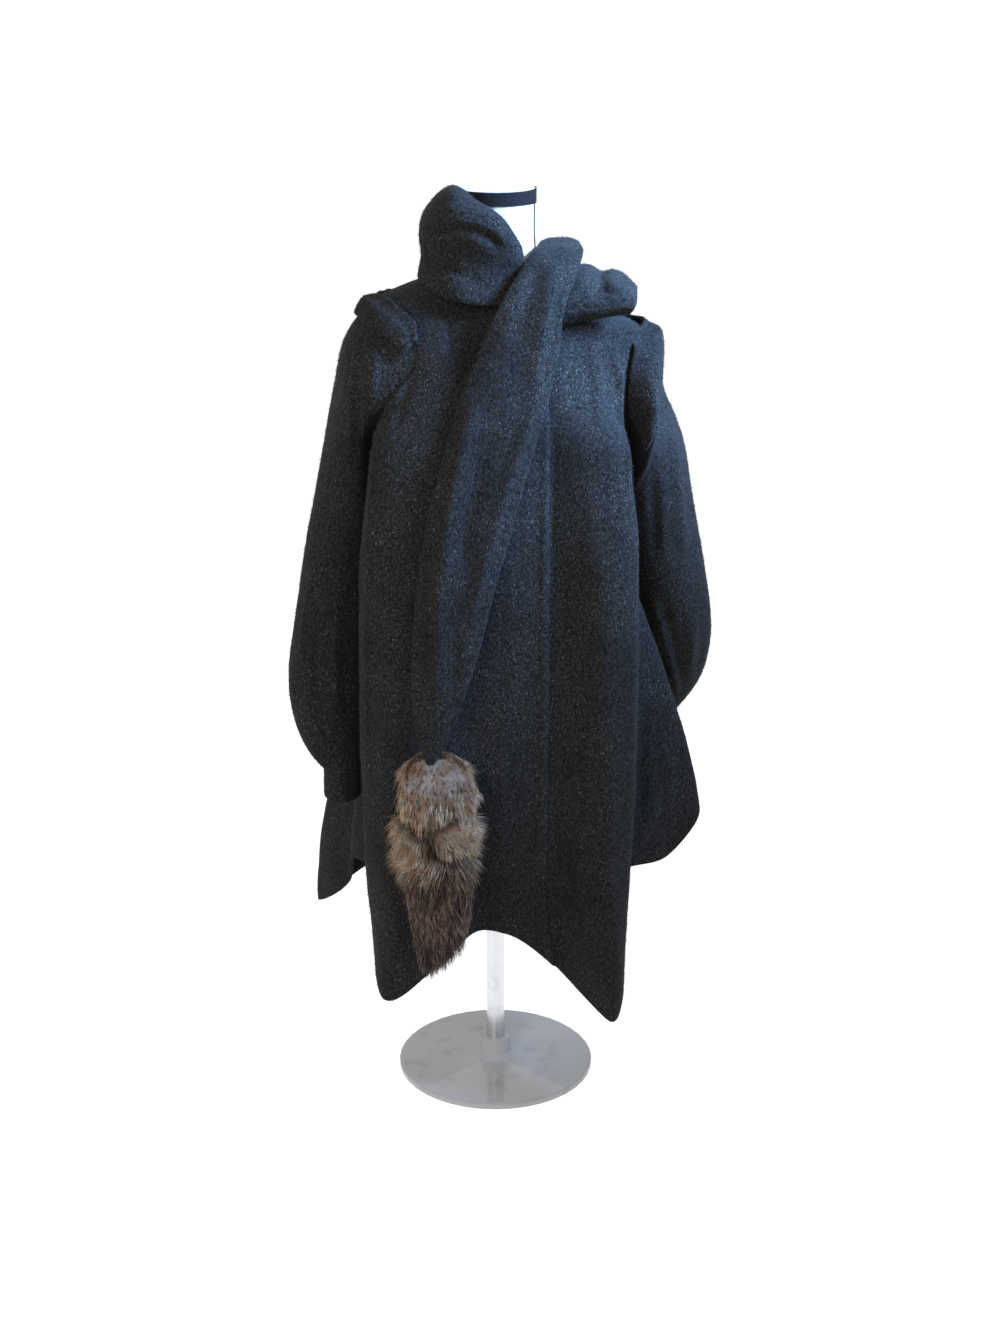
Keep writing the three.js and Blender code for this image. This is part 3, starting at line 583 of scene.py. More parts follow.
@dataclass
class Cloth:
    """One cut and sewn piece of wool, made on the solid that it stands for.

    flat, area: the cut in metres and square metres; not used. nap: how many loose hairs stand on it.
    """

    node: str
    flat: tuple[float, float]
    area: float
    held: Held
    rests_on: tuple[str, ...]
    levels: int = 2
    nap: int = 0
    ripple: float = 0.9
    fuzz: float = 0.35
    rim: float = 0.45
    made: bpy.types.Object | None = None
    extras: list = field(default_factory=list)

    def build(self, wool: bpy.types.Material) -> None:
        """Makes the cloth, its creases and its small unevenness.

        Args:
            wool: The cloth's finish.
        """
        self.made = smooth_copy(self.node, "wool_" + self.node, self.levels, self.rim, wool)
        points = read_points(self.made.data)
        tree = tree_of([self.made])
        for crease in FOLDS.get(self.node, ()):
            crease.press(points, tree)
        for pull in PULLS.get(self.node, ()):
            pull.shove(points)
        wobble, fine = (sway_at(points, scale) for scale in (21.0, 75.0))
        points += (wobble * self.ripple + fine * self.fuzz) * MM
        write_points(self.made.data, points)

    def declare(self) -> None:
        """Hides the solid that the piece stands for, and lets the piece and what grows on it ride on the body."""
        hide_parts(self.node)
        add_piece(self.made)
        for extra in self.extras:
            add_piece(extra)


def scatter(made: bpy.types.Object, count: int, rng: np.random.Generator) -> tuple[np.ndarray, np.ndarray]:
    """Points spread evenly over a piece.

    Args:
        made: The piece.
        count: How many points.
        rng: The seeded source of chance.

    Returns:
        The points and the outward normals there.
    """
    mesh = made.data
    mesh.calc_loop_triangles()
    corners = np.empty(len(mesh.loop_triangles) * 3, np.int32)
    mesh.loop_triangles.foreach_get("vertices", corners)
    corners = corners.reshape(-1, 3)
    triangles = read_points(mesh)[corners]
    normals = read_points(mesh, "normal")[corners]
    area = np.linalg.norm(np.cross(triangles[:, 1] - triangles[:, 0], triangles[:, 2] - triangles[:, 0]), axis=1)
    pick = rng.choice(len(corners), size=count, p=area / area.sum())
    share = rng.random((count, 2))
    share = np.where(share.sum(1, keepdims=True) > 1, 1 - share, share)
    weights = np.column_stack([1 - share.sum(1), share])[:, :, None]
    return (triangles[pick] * weights).sum(1), unit((normals[pick] * weights).sum(1))


def seed_triangles(count: int) -> bmesh.types.BMesh:
    """Many small loose triangles, one for the root of each hair."""
    bm = bmesh.new()
    side = math.ceil(math.sqrt(count / 2)) + 4
    bmesh.ops.create_grid(bm, x_segments=side, y_segments=side, size=1.0)
    bmesh.ops.triangulate(bm, faces=bm.faces[:])
    bmesh.ops.split_edges(bm, edges=bm.edges[:])
    joined = [face for face in bm.faces if any(len(vertex.link_faces) > 1 for vertex in face.verts)]
    bmesh.ops.delete(bm, geom=joined, context="FACES")
    bm.faces.ensure_lookup_table()
    bmesh.ops.delete(bm, geom=bm.faces[count:], context="FACES")
    return bm


def ring(centres: np.ndarray, aims: np.ndarray, radii: np.ndarray) -> np.ndarray:
    """Three points round each centre, square to its aim.

    Args:
        centres: One point a hair.
        aims: The way that each hair goes.
        radii: One radius a hair.

    Returns:
        Points by hair and corner.
    """
    helper = np.where(np.abs(aims[:, 2:3]) > 0.9, [[1.0, 0.0, 0.0]], [[0.0, 0.0, 1.0]])
    across = unit(np.cross(helper, aims))
    beside = np.cross(aims, across)
    turns = [0.0, 2.0944, 4.1888]
    spokes = [across * math.cos(turn) + beside * math.sin(turn) for turn in turns]
    return np.stack([centres + spoke * radii[:, None] for spoke in spokes], axis=1)


def grow_hairs(
    name: str,
    stations: Sequence[np.ndarray],
    radii: Sequence[np.ndarray],
    marks: dict[str, np.ndarray],
    material: bpy.types.Material,
) -> bpy.types.Object:
    """Grows hairs from root triangles, ring by ring, to a point.

    Args:
        name: The piece's name.
        stations: The hairs' points, from all roots to all tips.
        radii: The hairs' radii at every station but the last.
        marks: One number a hair by name, for the finish to read.
        material: The finish.

    Returns:
        The piece.
    """
    count = len(stations[0])
    bm = seed_triangles(count)
    along = bm.verts.layers.float.new("along")
    layers = [(bm.verts.layers.float.new(key), values) for key, values in marks.items()]
    faces = bm.faces[:]
    homes = {vertex: (hair, corner) for hair, face in enumerate(faces) for corner, vertex in enumerate(face.verts)}
    last = len(stations) - 1
    for level in range(last):
        if level:
            faces = bmesh.ops.extrude_discrete_faces(bm, faces=faces)["faces"]
            homes = inherit([vertex for face in faces for vertex in face.verts], homes)
        rings = ring(stations[level], unit(stations[level + 1] - stations[level]), radii[level])
        for vertex, (hair, corner) in homes.items():
            vertex.co = rings[hair, corner]
            vertex[along] = level / last
            for layer, values in layers:
                vertex[layer] = values[hair]
    for tip, (hair, _) in inherit(bmesh.ops.poke(bm, faces=faces, offset=MM)["verts"], homes).items():
        tip.co = stations[last][hair]
        tip[along] = 1.0
        for layer, values in layers:
            tip[layer] = values[hair]
    return to_object(name, bm, material)


def inherit(fresh: Sequence[bmesh.types.BMVert], homes: dict) -> dict:
    """Gives each new vertex the hair and corner of the old vertex that an edge joins it to.

    Args:
        fresh: The new vertices.
        homes: The old vertices' hairs and corners.

    Returns:
        The new vertices' hairs and corners.
    """
    found = {}
    for vertex in fresh:
        for edge in vertex.link_edges:
            home = homes.get(edge.other_vert(vertex))
            if home is not None:
                found[vertex] = home
                break
    return found


@dataclass
class Nap:
    """The loose hairs that stand on the outside of the coat."""

    seed: int = 41
    tries: float = 2.9
    down: float = 0.75
    stray: float = 0.70
    lengths: Point = (2.6, 6.4)
    radii: Point = (0.16, 0.30)
    pale_share: float = 0.50

    def grow(self, cloth: Cloth, around: BVHTree, hair: bpy.types.Material) -> None:
        """Sets hairs on one piece where nothing covers it.

        Args:
            cloth: The piece.
            around: All faces of the coat and form.
            hair: The hairs' finish.
        """
        rng = np.random.default_rng(self.seed + sum(map(ord, cloth.node)))
        points, normals = scatter(cloth.made, round(cloth.nap * self.tries), rng)
        keep = np.array([self.open_air(p, n, around) for p, n in zip(points, normals)])
        points, normals = points[keep][: cloth.nap], normals[keep][: cloth.nap]
        count = len(points)
        fall = unit(np.array([0.0, 0.0, -1.0]) + normals * normals[:, 2:3])
        aims = unit(normals * 0.55 + fall * self.down + rng.normal(size=(count, 3)) * self.stray)
        under = (aims * normals).sum(1, keepdims=True)
        aims = unit(aims + normals * np.clip(0.22 - under, 0.0, None))
        lengths = rng.uniform(*self.lengths, count) * np.where(rng.random(count) < 0.06, 1.7, 1.0)
        radii = rng.uniform(*self.radii, count)
        pale = rng.random(count) < self.pale_share
        tone = np.where(pale, rng.uniform(0.35, 1.0, count), rng.uniform(0.0, 0.2, count))
        roots = points - normals * 0.3 * MM
        tips = roots + aims * lengths[:, None] * MM
        made = grow_hairs("nap_" + cloth.node, [roots, tips], [radii * MM], {"tone": tone}, hair)
        cloth.extras.append(made)

    @staticmethod
    def open_air(point: np.ndarray, normal: np.ndarray, around: BVHTree) -> bool:
        """Whether a straight or a lowered look from the cloth meets nothing."""
        start = Vector(point + normal * 0.7 * MM)
        if around.ray_cast(start, Vector(normal), 0.7)[0] is None:
            return True
        lower = Vector(normal + np.array([0.0, 0.0, -0.5]))
        return around.ray_cast(start, lower, 0.7)[0] is None


@dataclass(frozen=True)
class StitchRow:
    """A row of sunk stitches along a line on one piece."""

    node: str
    side: Side
    line: tuple[Point, ...]
    pitch: float = 7.0
    length: float = 4.6


@dataclass
class Stitching:
    """All rows of stitches, made as small capsules."""

    rows: tuple[StitchRow, ...]
    thick: float = 0.75

    def sew(self, cloth: Cloth, thread: bpy.types.Material) -> None:
        """Sews a piece's rows, if it has any.

        Args:
            cloth: The piece.
            thread: The thread's finish.
        """
        rows = [row for row in self.rows if row.node == cloth.node]
        if not rows:
            return
        tree = tree_of([cloth.made])
        bm = bmesh.new()
        for row in rows:
            found = surface_points(tree, row.side, row.line, row.pitch)
            for (here, normal), (after, _) in zip(found, found[1:]):
                way = (after - here).normalized()
                if (after - here).length > 3 * row.pitch * MM:
                    continue
                verts = bmesh.ops.create_icosphere(bm, subdivisions=1, radius=self.thick * MM)["verts"]
                across = way.cross(normal).normalized()
                for vertex in verts:
                    x, y, z = vertex.co
                    along = x / self.thick * row.length / 2
                    vertex.co = here + way * along + across * y + normal * (z + 0.15 * MM)
        cloth.extras.append(to_object("stitches_" + cloth.node, bm, thread))


FRONT = Side.FRONT

# Folds and furrows that the photo shows, by piece: a line in mm across and up, half its width, and its rise.
FOLD_ROWS: dict[str, tuple[tuple[tuple[Point, ...], float, float], ...]] = {
    "front_right": (
        (((-111, 1125), (-119, 1104), (-128, 1087), (-139, 1072), (-150, 1059)), 9, 4.5),
        (((-168, 1009), (-171, 916), (-177, 804), (-181, 658), (-183, 521)), 8, 3),
        (
            ((66, 1055), (68, 945), (68, 805), (69, 659), (68, 522), (62, 445), (58, 395), (66, 346), (77, 275)),
            6,
            3.4,
        ),
        (((13, 808), (13, 750), (17, 661), (21, 604), (21, 508), (20, 392)), 5, -1.6),
        (((-147, 443), (-136, 391), (-127, 336), (-120, 279)), 16, -7),
        (((-135, 1040), (-126, 1077), (-112, 1110)), 12, -3.5),
        (((-75, 1199), (-61, 1168), (-58, 1132)), 10, -3),
    ),
    "front_left": (
        (((80, 1050), (80, 900), (80, 700), (80, 520), (76, 440), (74, 380)), 7, -2.5),
        (((95, 521), (98, 444), (100, 382), (101, 319), (98, 254)), 20, -9),
        (((163, 1134), (172, 1096), (171, 1056), (174, 1010), (179, 957)), 10, 6),
        (((130, 1152), (139, 1101), (143, 1039)), 14, 4),
        (((215, 614), (216, 532), (215, 423)), 12, -5),
        (((244, 564), (254, 518), (261, 478)), 12, 4),
        (((235, 467), (214, 399)), 10, 3),
    ),
    "scarf_front_fall": (
        (((-25, 1096), (-44, 1021), (-65, 915), (-76, 807), (-79, 696), (-81, 640)), 20, 6.5),
        (((-12, 1035), (-28, 956), (-42, 895), (-36, 834)), 14, -5.0),
        (((65, 1122), (51, 1073), (33, 1021), (7, 942), (-15, 861), (-34, 792)), 11, 5.0),
        (((-52, 765), (-55, 695)), 11, -3.0),
        (((-103, 845), (-109, 749), (-110, 666)), 10, 3.5),
        (((82, 1259), (71, 1214), (60, 1150), (47, 1099)), 14, 5.0),
        (((61, 1259), (43, 1215), (28, 1157)), 14, -4.0),
    ),
    "scarf_neck_wrap": (
        (((-74, 1297), (-53, 1303), (-30, 1302), (-6, 1292), (11, 1275)), 11, -9),
        (((-82, 1320), (-57, 1328), (-26, 1326), (0, 1315), (18, 1299)), 13, 2.5),
        (((-85, 1254), (-60, 1250), (-33, 1239), (-6, 1222)), 9, -4),
        (((-96, 1282), (-92, 1260), (-88, 1243)), 8, -3),
    ),
    "scarf_shoulder_roll": (
        (((107, 1217), (128, 1221), (149, 1223), (171, 1215)), 8, -4.5),
        (((150, 1234), (148, 1222), (151, 1206)), 8, -2),
    ),
    "sleeve_right": (
        (((-162, 1137), (-165, 1101), (-168, 1071)), 8, 5),
        (((-188, 1142), (-189, 1073), (-192, 983)), 12, -6),
        (((-296, 628), (-286, 640), (-276, 645)), 6, -5),
        (((-262, 813), (-276, 737), (-283, 670)), 9, 4),
        (((-226, 772), (-231, 682), (-229, 593)), 10, 3.5),
        (((-255, 741), (-259, 667), (-255, 586)), 10, -4),
        (((-275, 613), (-258, 578), (-241, 543)), 8, 3),
    ),
    "sleeve_left": (
        (((221, 783), (238, 729), (258, 667), (276, 592)), 10, 4),
        (((245, 760), (264, 684), (284, 589)), 10, -4),
        (((308, 681), (303, 628)), 8, -5),
        (((281, 742), (290, 664)), 8, 5),
        (((226, 1040), (215, 1008), (203, 943), (199, 900)), 7, 5.5),
        (((222, 960), (226, 905), (229, 825)), 12, -4),
        (((248, 1019), (262, 915), (272, 822)), 16, 5),
        (((292, 735), (292, 690), (287, 640)), 8, 5),
    ),
}

FOLDS = {node: tuple(Crease(FRONT, *row) for row in rows) for node, rows in FOLD_ROWS.items()}

# Shoves that close gaps between neighbours and settle the caps and the collar.
PULLS: dict[str, tuple[Pull, ...]] = {
    "front_left": (Pull((180, -125, 950), (60, 60, 120), (7, 0, 0)),),
    "sleeve_left": (
        Pull((190, -20, 940), (40, 75, 120), (-9, -3, 0)),
        Pull((196, -50, 1075), (40, 50, 110), (0, -9, 0)),
    ),
    "shoulder_cap_left": (
        Pull((200, -50, 1090), (30, 60, 110), (-9, -9, 0)),
        Pull((204, -34, 1160), (30, 50, 30), (-9, 7, -8)),
    ),
    "shoulder_cap_right": (
        Pull((-103, -99, 1148), (28, 40, 36), (-6, 5, 7)),
        Pull((-158, 0, 1214), (34, 70, 22), (0, 0, -9)),
    ),
    "scarf_neck_wrap": (Pull((-56, -20, 1340), (36, 70, 36), (3, 0, 11)),),
}

SEAMS = (
    StitchRow("front_right", FRONT, ((13, 808), (13, 750), (17, 661), (21, 604), (21, 508), (20, 392))),
    StitchRow("front_right", FRONT, ((-172, 318), (-160, 245), (-85, 282), (-22, 327), (30, 314), (75, 290))),
    StitchRow("cuff_right", FRONT, ((-248, 482), (-204, 482))),
    StitchRow("cuff_left", FRONT, ((211, 507), (255, 507))),
)

COAT_CLOTH = (
    Cloth("front_right", (0.52, 1.06), 0.355, Held.HUNG, ("form_torso",), nap=26000),
    Cloth("front_left", (0.46, 1.07), 0.296, Held.HUNG, ("form_torso",), nap=22000),
    Cloth("back", (0.86, 1.08), 0.573, Held.HUNG, ("form_torso",), nap=25000),
    Cloth("sleeve_right", (0.44, 0.70), 0.21, Held.HUNG, ("wool_back",), nap=12000),
    Cloth("sleeve_left", (0.44, 0.66), 0.197, Held.HUNG, ("wool_back",), nap=12000),
    Cloth("cuff_right", (0.21, 0.045), 0.0084, Held.HUNG, ("wool_sleeve_right",), nap=600, levels=3),
    Cloth("cuff_left", (0.21, 0.045), 0.0084, Held.HUNG, ("wool_sleeve_left",), nap=600, levels=3),
    Cloth("shoulder_cap_right", (0.22, 0.08), 0.012, Held.FOLDED, ("wool_sleeve_right",), nap=1400),
    Cloth("shoulder_cap_left", (0.30, 0.16), 0.026, Held.FOLDED, ("wool_sleeve_left",), nap=2600),
    Cloth("scarf_neck_wrap", (0.42, 0.15), 0.0465, Held.DRAPED, ("form_torso",), nap=4200),
    Cloth("scarf_front_fall", (0.16, 0.75), 0.067, Held.DRAPED, ("wool_front_right",), nap=8000),
    Cloth("scarf_shoulder_roll", (0.13, 0.25), 0.028, Held.DRAPED, ("wool_front_left",), nap=3000),
    Cloth("scarf_back_end", (0.11, 0.44), 0.036, Held.DRAPED, ("wool_back",), nap=3200),
)


@dataclass
class Coat:
    """The coat and its scarf."""

    cloths: tuple[Cloth, ...] = COAT_CLOTH
    stitching: Stitching = field(default_factory=lambda: Stitching(SEAMS))
    nap: Nap = field(default_factory=Nap)

    def build(self, form: Sequence[bpy.types.Object]) -> None:
        """Makes every piece, then what grows and is sewn on it.

        Args:
            form: What the coat is worn on, which also covers the cloth.
        """
        wool = Mohair().material()
        hair = NapHair().material()
        for cloth in self.cloths:
            cloth.build(wool)
        around = tree_of([cloth.made for cloth in self.cloths] + list(form))
        for cloth in self.cloths:
            if cloth.nap:
                self.nap.grow(cloth, around, hair)
            self.stitching.sew(cloth, wool)
            cloth.declare()


# ---------------------------------------------------------------- fox tail


@dataclass
class FoxTail:
    """The fox tail on the scarf's point: a padded core with long guard hair and short under hair."""

    node: str = "fur_tail"
    guard: int = 12000
    under: int = 19000
    seed: int = 7
    pale_above: float = 450.0
    blend: float = 24.0
    core_along: float = 0.2
    partings: tuple[tuple[Point, ...], ...] = (
        ((-128, 520), (-98, 502)),
        ((-98, 506), (-84, 515), (-62, 528)),
        ((-98, 502), (-84, 476), (-66, 464), (-34, 470)),
    )
    crowns: tuple[Place, ...] = ((-88.0, 612.0, 56.0), (-92.0, 506.0, 30.0), (-70.0, 462.0, 38.0))

    pulls: tuple[Pull, ...] = (
        Pull((-8, -225, 430), (60, 80, 130), (-16, 0, 0)),
        Pull((-150, -225, 440), (50, 80, 110), (9, 0, 0)),
        Pull((-70, -225, 262), (70, 60, 70), (-9, 0, 8)),
    )

    def build(self) -> None:
        """Makes the core and both coats of hair."""
        hair = FoxHair().material()
        core = smooth_copy(self.node, "tail_core", 2, 0.0, hair)
        self.pull_in(core)
        self.mark_core(core)
        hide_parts(self.node)
        add_piece(core)
        rng = np.random.default_rng(self.seed)
        for name, count, length, thick, levels in (
            ("tail_guard_hair", self.guard, 38.0, 0.42, 3),
            ("tail_under_hair", self.under, 22.0, 0.34, 2),
        ):
            add_piece(self.hairs(name, core, count, length, thick, levels, rng, hair))

    def pull_in(self, core: bpy.types.Object) -> None:
        """Makes the core slimmer, to leave room for the hair, with a dent along each parting."""
        points = read_points(core.data)
        normals = read_points(core.data, "normal")
        depth = 10.0 + 7.0 * self.near_parting(points, 14.0)
        points -= normals * depth[:, None] * MM
        for pull in self.pulls:
            pull.shove(points)
        write_points(core.data, points)

    def near_parting(self, points: np.ndarray, width: float) -> np.ndarray:
        """How near each point of the front is to a parting, from 0 to 1.

        Args:
            points: Places in metres.
            width: Where it fades out, in mm.

        Returns:
            One number a point.
        """
        best = np.full(len(points), 1e9)
        flat = points[:, [0, 2]] / MM
        for line in self.partings:
            for (x0, z0), (x1, z1) in zip(line, line[1:]):
                start, span = np.array([x0, z0]), np.array([x1 - x0, z1 - z0], float)
                share = np.clip((flat - start) @ span / (span @ span), 0.0, 1.0)
                best = np.minimum(best, np.linalg.norm(flat - start - share[:, None] * span, axis=1))
        ahead = np.clip((-225.0 - points[:, 1] / MM) / 12.0 + 0.5, 0.0, 1.0)
        return np.clip(1 - best / width, 0.0, 1.0) * ahead

    def pale_at(self, height: np.ndarray) -> np.ndarray:
        """How far each height in mm is into the pale part, from 0 to 1."""
        return np.clip((height - self.pale_above) / self.blend + 0.5, 0.0, 1.0)

    def paleness(self, points: np.ndarray, rng: np.random.Generator) -> np.ndarray:
        """How pale the hair is from each root: cream above, dark brown in the tail's end, and dark brown along each
        parting as painted shade.

        Args:
            points: The hairs' roots in metres.
            rng: The seeded source of chance.

        Returns:
            One number a hair, from 0 to 1.
        """
        height = points[:, 2] / MM + rng.normal(size=len(points)) * 9.0
        pale = self.pale_at(height)
        # Hairs along a parting get the tail end's dark brown: painted shade in the parting.
        pale *= 1 - np.clip(1.3 * self.near_parting(points, 13.0), 0.0, 1.0)
        return np.where(rng.random(len(points)) < 0.06, pale * 0.5, pale)

    def mark_core(self, core: bpy.types.Object) -> None:
        """Gives the core the marks that the finish reads, as dark under fur, turning dark brown along each parting as
        painted shade.
        """
        points = read_points(core.data)
        pale = self.pale_at(points[:, 2] / MM)
        # The core turns dark brown along each parting: painted shade in the parting.
        pale *= 1 - 0.9 * self.near_parting(points, 12.0)
        along = np.full_like(pale, self.core_along)
        for name, values in (("along", along), ("pale", pale), ("tip", np.zeros_like(pale))):
            layer = core.data.attributes.new(name, "FLOAT", "POINT")
            layer.data.foreach_set("value", values.astype(np.float32))

    def flow(self, points: np.ndarray, normals: np.ndarray) -> np.ndarray:
        """The way that the hair lies: down, and fanned out from the crown of each lobe.

        Args:
            points: The roots in metres.
            normals: The core's normals there; not used.

        Returns:
            One direction a hair.
        """
        flat = points / MM
        way = np.tile([0.0, 0.0, -1.0], (len(points), 1))
        for x, z, reach in self.crowns:
            away = np.column_stack([flat[:, 0] - x, 0.3 * (flat[:, 1] + 226.0), np.minimum(flat[:, 2] - z, -4.0)])
            below = z + 8.0 - flat[:, 2]
            weight = np.where(below > 0, np.exp(-((below / reach) ** 2)), 0.0)
            way += 2.2 * weight[:, None] * unit(away)
        return unit(way)

    def hairs(
        self,
        name: str,
        core: bpy.types.Object,
        count: int,
        length: float,
        thick: float,
        levels: int,
        rng: np.random.Generator,
        finish: bpy.types.Material,
    ) -> bpy.types.Object:
        """One coat of hair.

        Args:
            name: The piece's name.
            core: What it grows on.
            count: How many hairs.
            length: Their usual length in mm.
            thick: Their radius at the root in mm.
            levels: How many bends a hair has.
            rng: The seeded source of chance.
            finish: The hairs' finish.

        Returns:
            The piece.
        """
        roots, normals = scatter(core, count, rng)
        way = self.flow(roots, normals)
        clump, gather = (sway_at(roots, scale) for scale in (62.0, 150.0))
        locks = gather[:, 0].copy()
        for sway in (clump, gather):
            sway -= normals * np.clip((sway * normals).sum(1, keepdims=True), -0.3, None)
        low = 1 - 0.35 * np.clip((self.pale_above - roots[:, 2] / MM) / 100.0, 0.0, 1.0)
        short = 1 - 0.55 * self.near_parting(roots, 14.0)
        reach = length * rng.uniform(0.65, 1.15, count) * low * short * MM
        lift = unit(normals * 0.55 + way * 0.80 + clump * 0.30 + rng.normal(size=(count, 3)) * 0.08)
        lie = unit(way - normals * 0.02 + clump * 0.50 + gather * 0.55 + rng.normal(size=(count, 3)) * 0.07)
        stations = [roots - normals * MM]
        radii = []
        for level in range(levels):
            share = level / max(levels - 1, 1)
            aim = unit(lift * (1 - share) + (lie - normals * 0.12 * share) * share)
            stations.append(stations[-1] + aim * (reach / levels)[:, None])
            radii.append(thick * rng.uniform(0.8, 1.2, count) * (1 - 0.55 * share) * MM)
        band = np.exp(-(((roots[:, 2] / MM - 378.0) / 30.0) ** 2))
        marks = {
            "pale": self.paleness(roots, rng),
            "tip": np.where(locks > 0.10 - 0.30 * band, rng.uniform(0.2, 1.0, count), 0.0),
        }
        return grow_hairs(name, stations, radii, marks, finish)


# ---------------------------------------------------------------- form and stand


@dataclass
class DressForm:
    """The torso's jersey, the pinked ribbon round the neck and the piping down its sides."""

    teeth: int = 120
    tooth: float = 1.5
    piping_thick: float = 1.4

    def build(self) -> list[bpy.types.Object]:
        """Dresses the torso and makes the ribbon and the piping.

        Returns:
            What covers the coat's inside.
        """
        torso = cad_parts["form_torso"]
        torso.data.materials.clear()
        torso.data.materials.append(Jersey().material())
        ribbon = Ribbon().material()
        band = self.band(ribbon)
        for sign in (-1, 1):
            self.piping(sign, torso, ribbon)
        return [torso, band]

    def band(self, ribbon: bpy.types.Material) -> bpy.types.Object:
        """The ribbon with its zigzag cut edges."""
        low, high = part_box("form_neck_band")
        radius = (high.x - low.x) / 2 - 0.5 * MM
        bm = bmesh.new()
        circle = bmesh.ops.create_circle(bm, segments=2 * self.teeth, radius=radius)["verts"]
        tooth = self.tooth * MM
        heights = (low.z + tooth, (low.z * 2 + high.z) / 3, (low.z + high.z * 2) / 3, high.z - tooth)
        bmesh.ops.translate(bm, verts=circle, vec=(0.0, (low.y + high.y) / 2, heights[0]))
        edges = bm.edges[:]
        for before, after in zip(heights, heights[1:]):
            made = bmesh.ops.extrude_edge_only(bm, edges=edges)["geom"]
            verts = [item for item in made if isinstance(item, bmesh.types.BMVert)]
            edges = [item for item in made if isinstance(item, bmesh.types.BMEdge)]
            bmesh.ops.translate(bm, verts=verts, vec=(0.0, 0.0, after - before))
        middle = (low + high) / 2
        for vertex in bm.verts:
            turn = math.atan2(vertex.co.y - middle.y, vertex.co.x - middle.x)
            index = round(turn / math.pi * self.teeth)
            if index % 2 == 0 and (abs(vertex.co.z - heights[0]) < 1e-5 or abs(vertex.co.z - heights[-1]) < 1e-5):
                vertex.co.z += math.copysign(tooth, vertex.co.z - middle.z)
        bmesh.ops.recalc_face_normals(bm, faces=bm.faces[:])
        bmesh.ops.solidify(bm, geom=bm.faces[:], thickness=0.9 * MM)
        made = to_object("neck_ribbon", bm, ribbon, smooth=False)
        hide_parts("form_neck_band")
        add_piece(made)
        return made

    def piping(self, sign: int, torso: bpy.types.Object, ribbon: bpy.types.Material) -> None:
        """The thin dark piping down one side of the neck.

        Args:
            sign: 1 on the wearer's left, -1 on the right.
            torso: What it is sewn to.
            ribbon: Its finish.
        """
        tree = tree_of([torso])
        side = Side.LEFT if sign > 0 else Side.RIGHT
        found = surface_points(tree, side, ((-15.0, 1329.0), (-15.0, 1290.0), (-14.0, 1262.0), (-12.0, 1236.0)), 5.0)
        bm = bmesh.new()
        bmesh.ops.create_circle(bm, segments=8, radius=self.piping_thick * MM)
        loop = bm.edges[:]
        rows = [bm.verts[:]]
        for _ in found[1:]:
            made = bmesh.ops.extrude_edge_only(bm, edges=loop)["geom"]
            loop = [item for item in made if isinstance(item, bmesh.types.BMEdge)]
            rows.append([item for item in made if isinstance(item, bmesh.types.BMVert)])
        for verts, (hit, normal) in zip(rows, found):
            for vertex in verts:
                x, y = vertex.co.x, vertex.co.y
                vertex.co = hit + normal * (x + 0.2 * MM) + Vector((0.0, y, 0.0))
        bmesh.ops.holes_fill(bm, edges=bm.edges[:], sides=8)
        bmesh.ops.recalc_face_normals(bm, faces=bm.faces[:])
        add_piece(to_object(f"neck_piping_{side.value}", bm, ribbon))


@dataclass
class Stand:
    """The pole and the round base, which keep their CAD shape."""

    pole: Steel = Steel("pole_steel", (0.72, 0.73, 0.75), (0.50, 0.51, 0.53), 1.0, 0.22, (1.0, 1.0, 0.03))
    base: Steel = Steel("base_steel", (0.62, 0.63, 0.65), (0.42, 0.43, 0.45), 0.0, 0.42, coat=0.3)

    def build(self) -> None:
        """Dresses both parts."""
        for node, slot, finish in (("stand_pole", "pole_steel", self.pole), ("stand_base", "base_steel", self.base)):
            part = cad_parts[node]
            part.data.materials.clear()
            part.data.materials.append(finish.material())
            log.info("%s dressed", node)


# ---------------------------------------------------------------- studio


@dataclass(frozen=True)
class Lamp:
    """A soft rectangular light, aimed at the coat."""

    name: str
    place: Place
    size: Point
    power: float
    colour: Colour
    aim: Place
    spread: float = 180.0


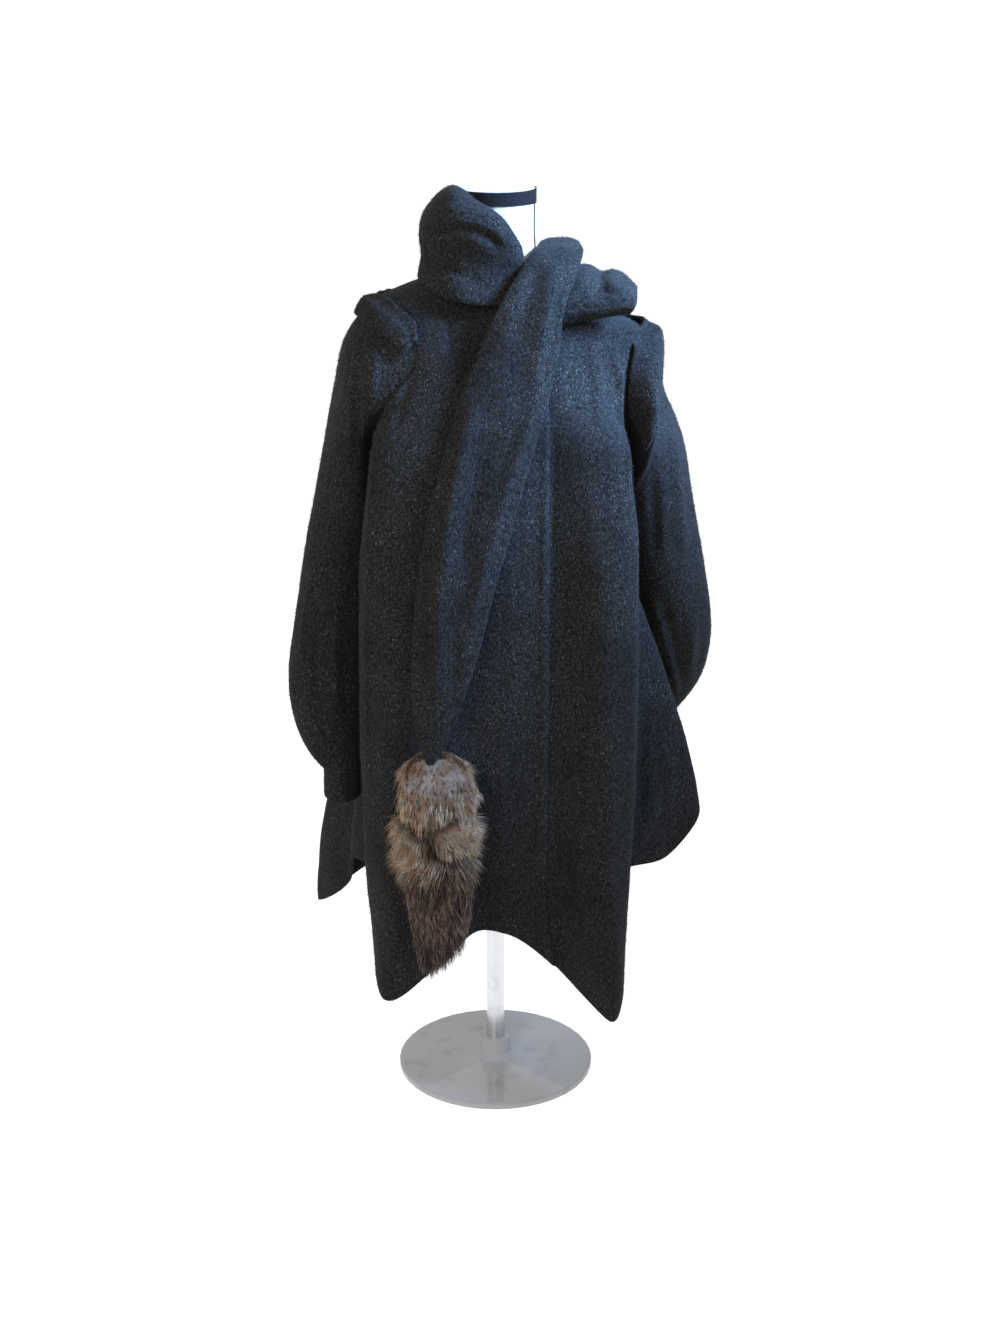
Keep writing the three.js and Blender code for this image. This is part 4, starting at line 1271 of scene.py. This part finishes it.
@dataclass
class Studio:
    """Camera, floor, world and lights."""

    camera_place: Place = (0.007, -3.0, 1.708)
    camera_tilt: float = 70.65
    lens: float = 58.36
    lamps: tuple[Lamp, ...] = (
        Lamp("key_window", (0.92, -0.40, 1.74), (0.42, 0.50), 10.0, (0.30, 0.55, 1.0), (0.05, -0.05, 1.15), 60.0),
        Lamp("front_fill", (-0.9, -3.2, 2.2), (2.0, 1.6), 36.0, (1.0, 0.93, 0.86), (0.0, 0.0, 0.78)),
        Lamp("warm_side", (-2.2, -0.9, 1.5), (1.0, 1.4), 8.0, (1.0, 0.88, 0.78), (0.0, 0.0, 0.70)),
        Lamp("back_top", (0.0, 2.6, 2.8), (2.6, 1.6), 24.0, (0.97, 0.98, 1.0), (0.0, 0.0, 0.78)),
    )
    world: Colour = (1.0, 0.98, 0.95)
    world_power: float = 0.34

    def build(self) -> None:
        """Makes everything that isn't the object."""
        data = bpy.data.cameras.new("camera")
        data.lens = self.lens
        data.sensor_width = 36.0
        data.dof.use_dof = False
        camera = bpy.data.objects.new("camera", data)
        camera.location = self.camera_place
        camera.rotation_euler = (math.radians(self.camera_tilt), 0.0, 0.0)
        bpy.context.scene.collection.objects.link(camera)
        bpy.context.scene.camera = camera
        for lamp in self.lamps:
            light = bpy.data.lights.new(lamp.name, "AREA")
            light.shape = "RECTANGLE"
            light.size, light.size_y = lamp.size
            light.energy = lamp.power
            light.color = lamp.colour
            light.spread = math.radians(lamp.spread)
            holder = bpy.data.objects.new(lamp.name, light)
            holder.location = lamp.place
            holder.visible_camera = False
            aim = Vector(lamp.aim) - Vector(lamp.place)
            holder.rotation_euler = aim.to_track_quat("-Z", "Y").to_euler()
            bpy.context.scene.collection.objects.link(holder)
        sky = bpy.data.worlds.new("studio")
        sky.use_nodes = True
        ground = sky.node_tree.nodes["Background"]
        ground.inputs[0].default_value = (*self.world, 1.0)
        ground.inputs[1].default_value = self.world_power
        bpy.context.scene.world = sky
        bpy.context.scene.view_settings.view_transform = "Standard"
        bm = bmesh.new()
        bmesh.ops.create_grid(bm, x_segments=2, y_segments=2, size=40.0)
        bmesh.ops.translate(bm, verts=bm.verts[:], vec=(0.0, 39.2, 0.0))
        floor = to_object("floor", bm, PaleFloor().material(), smooth=False)
        # Its glow whitens the background and leaves the hem unlit.
        floor.visible_diffuse = False
        log.info("studio ready")


def main() -> None:
    """Builds the studio, the form, the stand, the coat and the tail."""
    logging.basicConfig(level=logging.INFO, format="%(message)s")
    noise.seed_set(NOISE_SEED)
    Studio().build()
    form = DressForm().build()
    Stand().build()
    Coat().build(form)
    FoxTail().build()


if __name__ == "__main__":
    main()
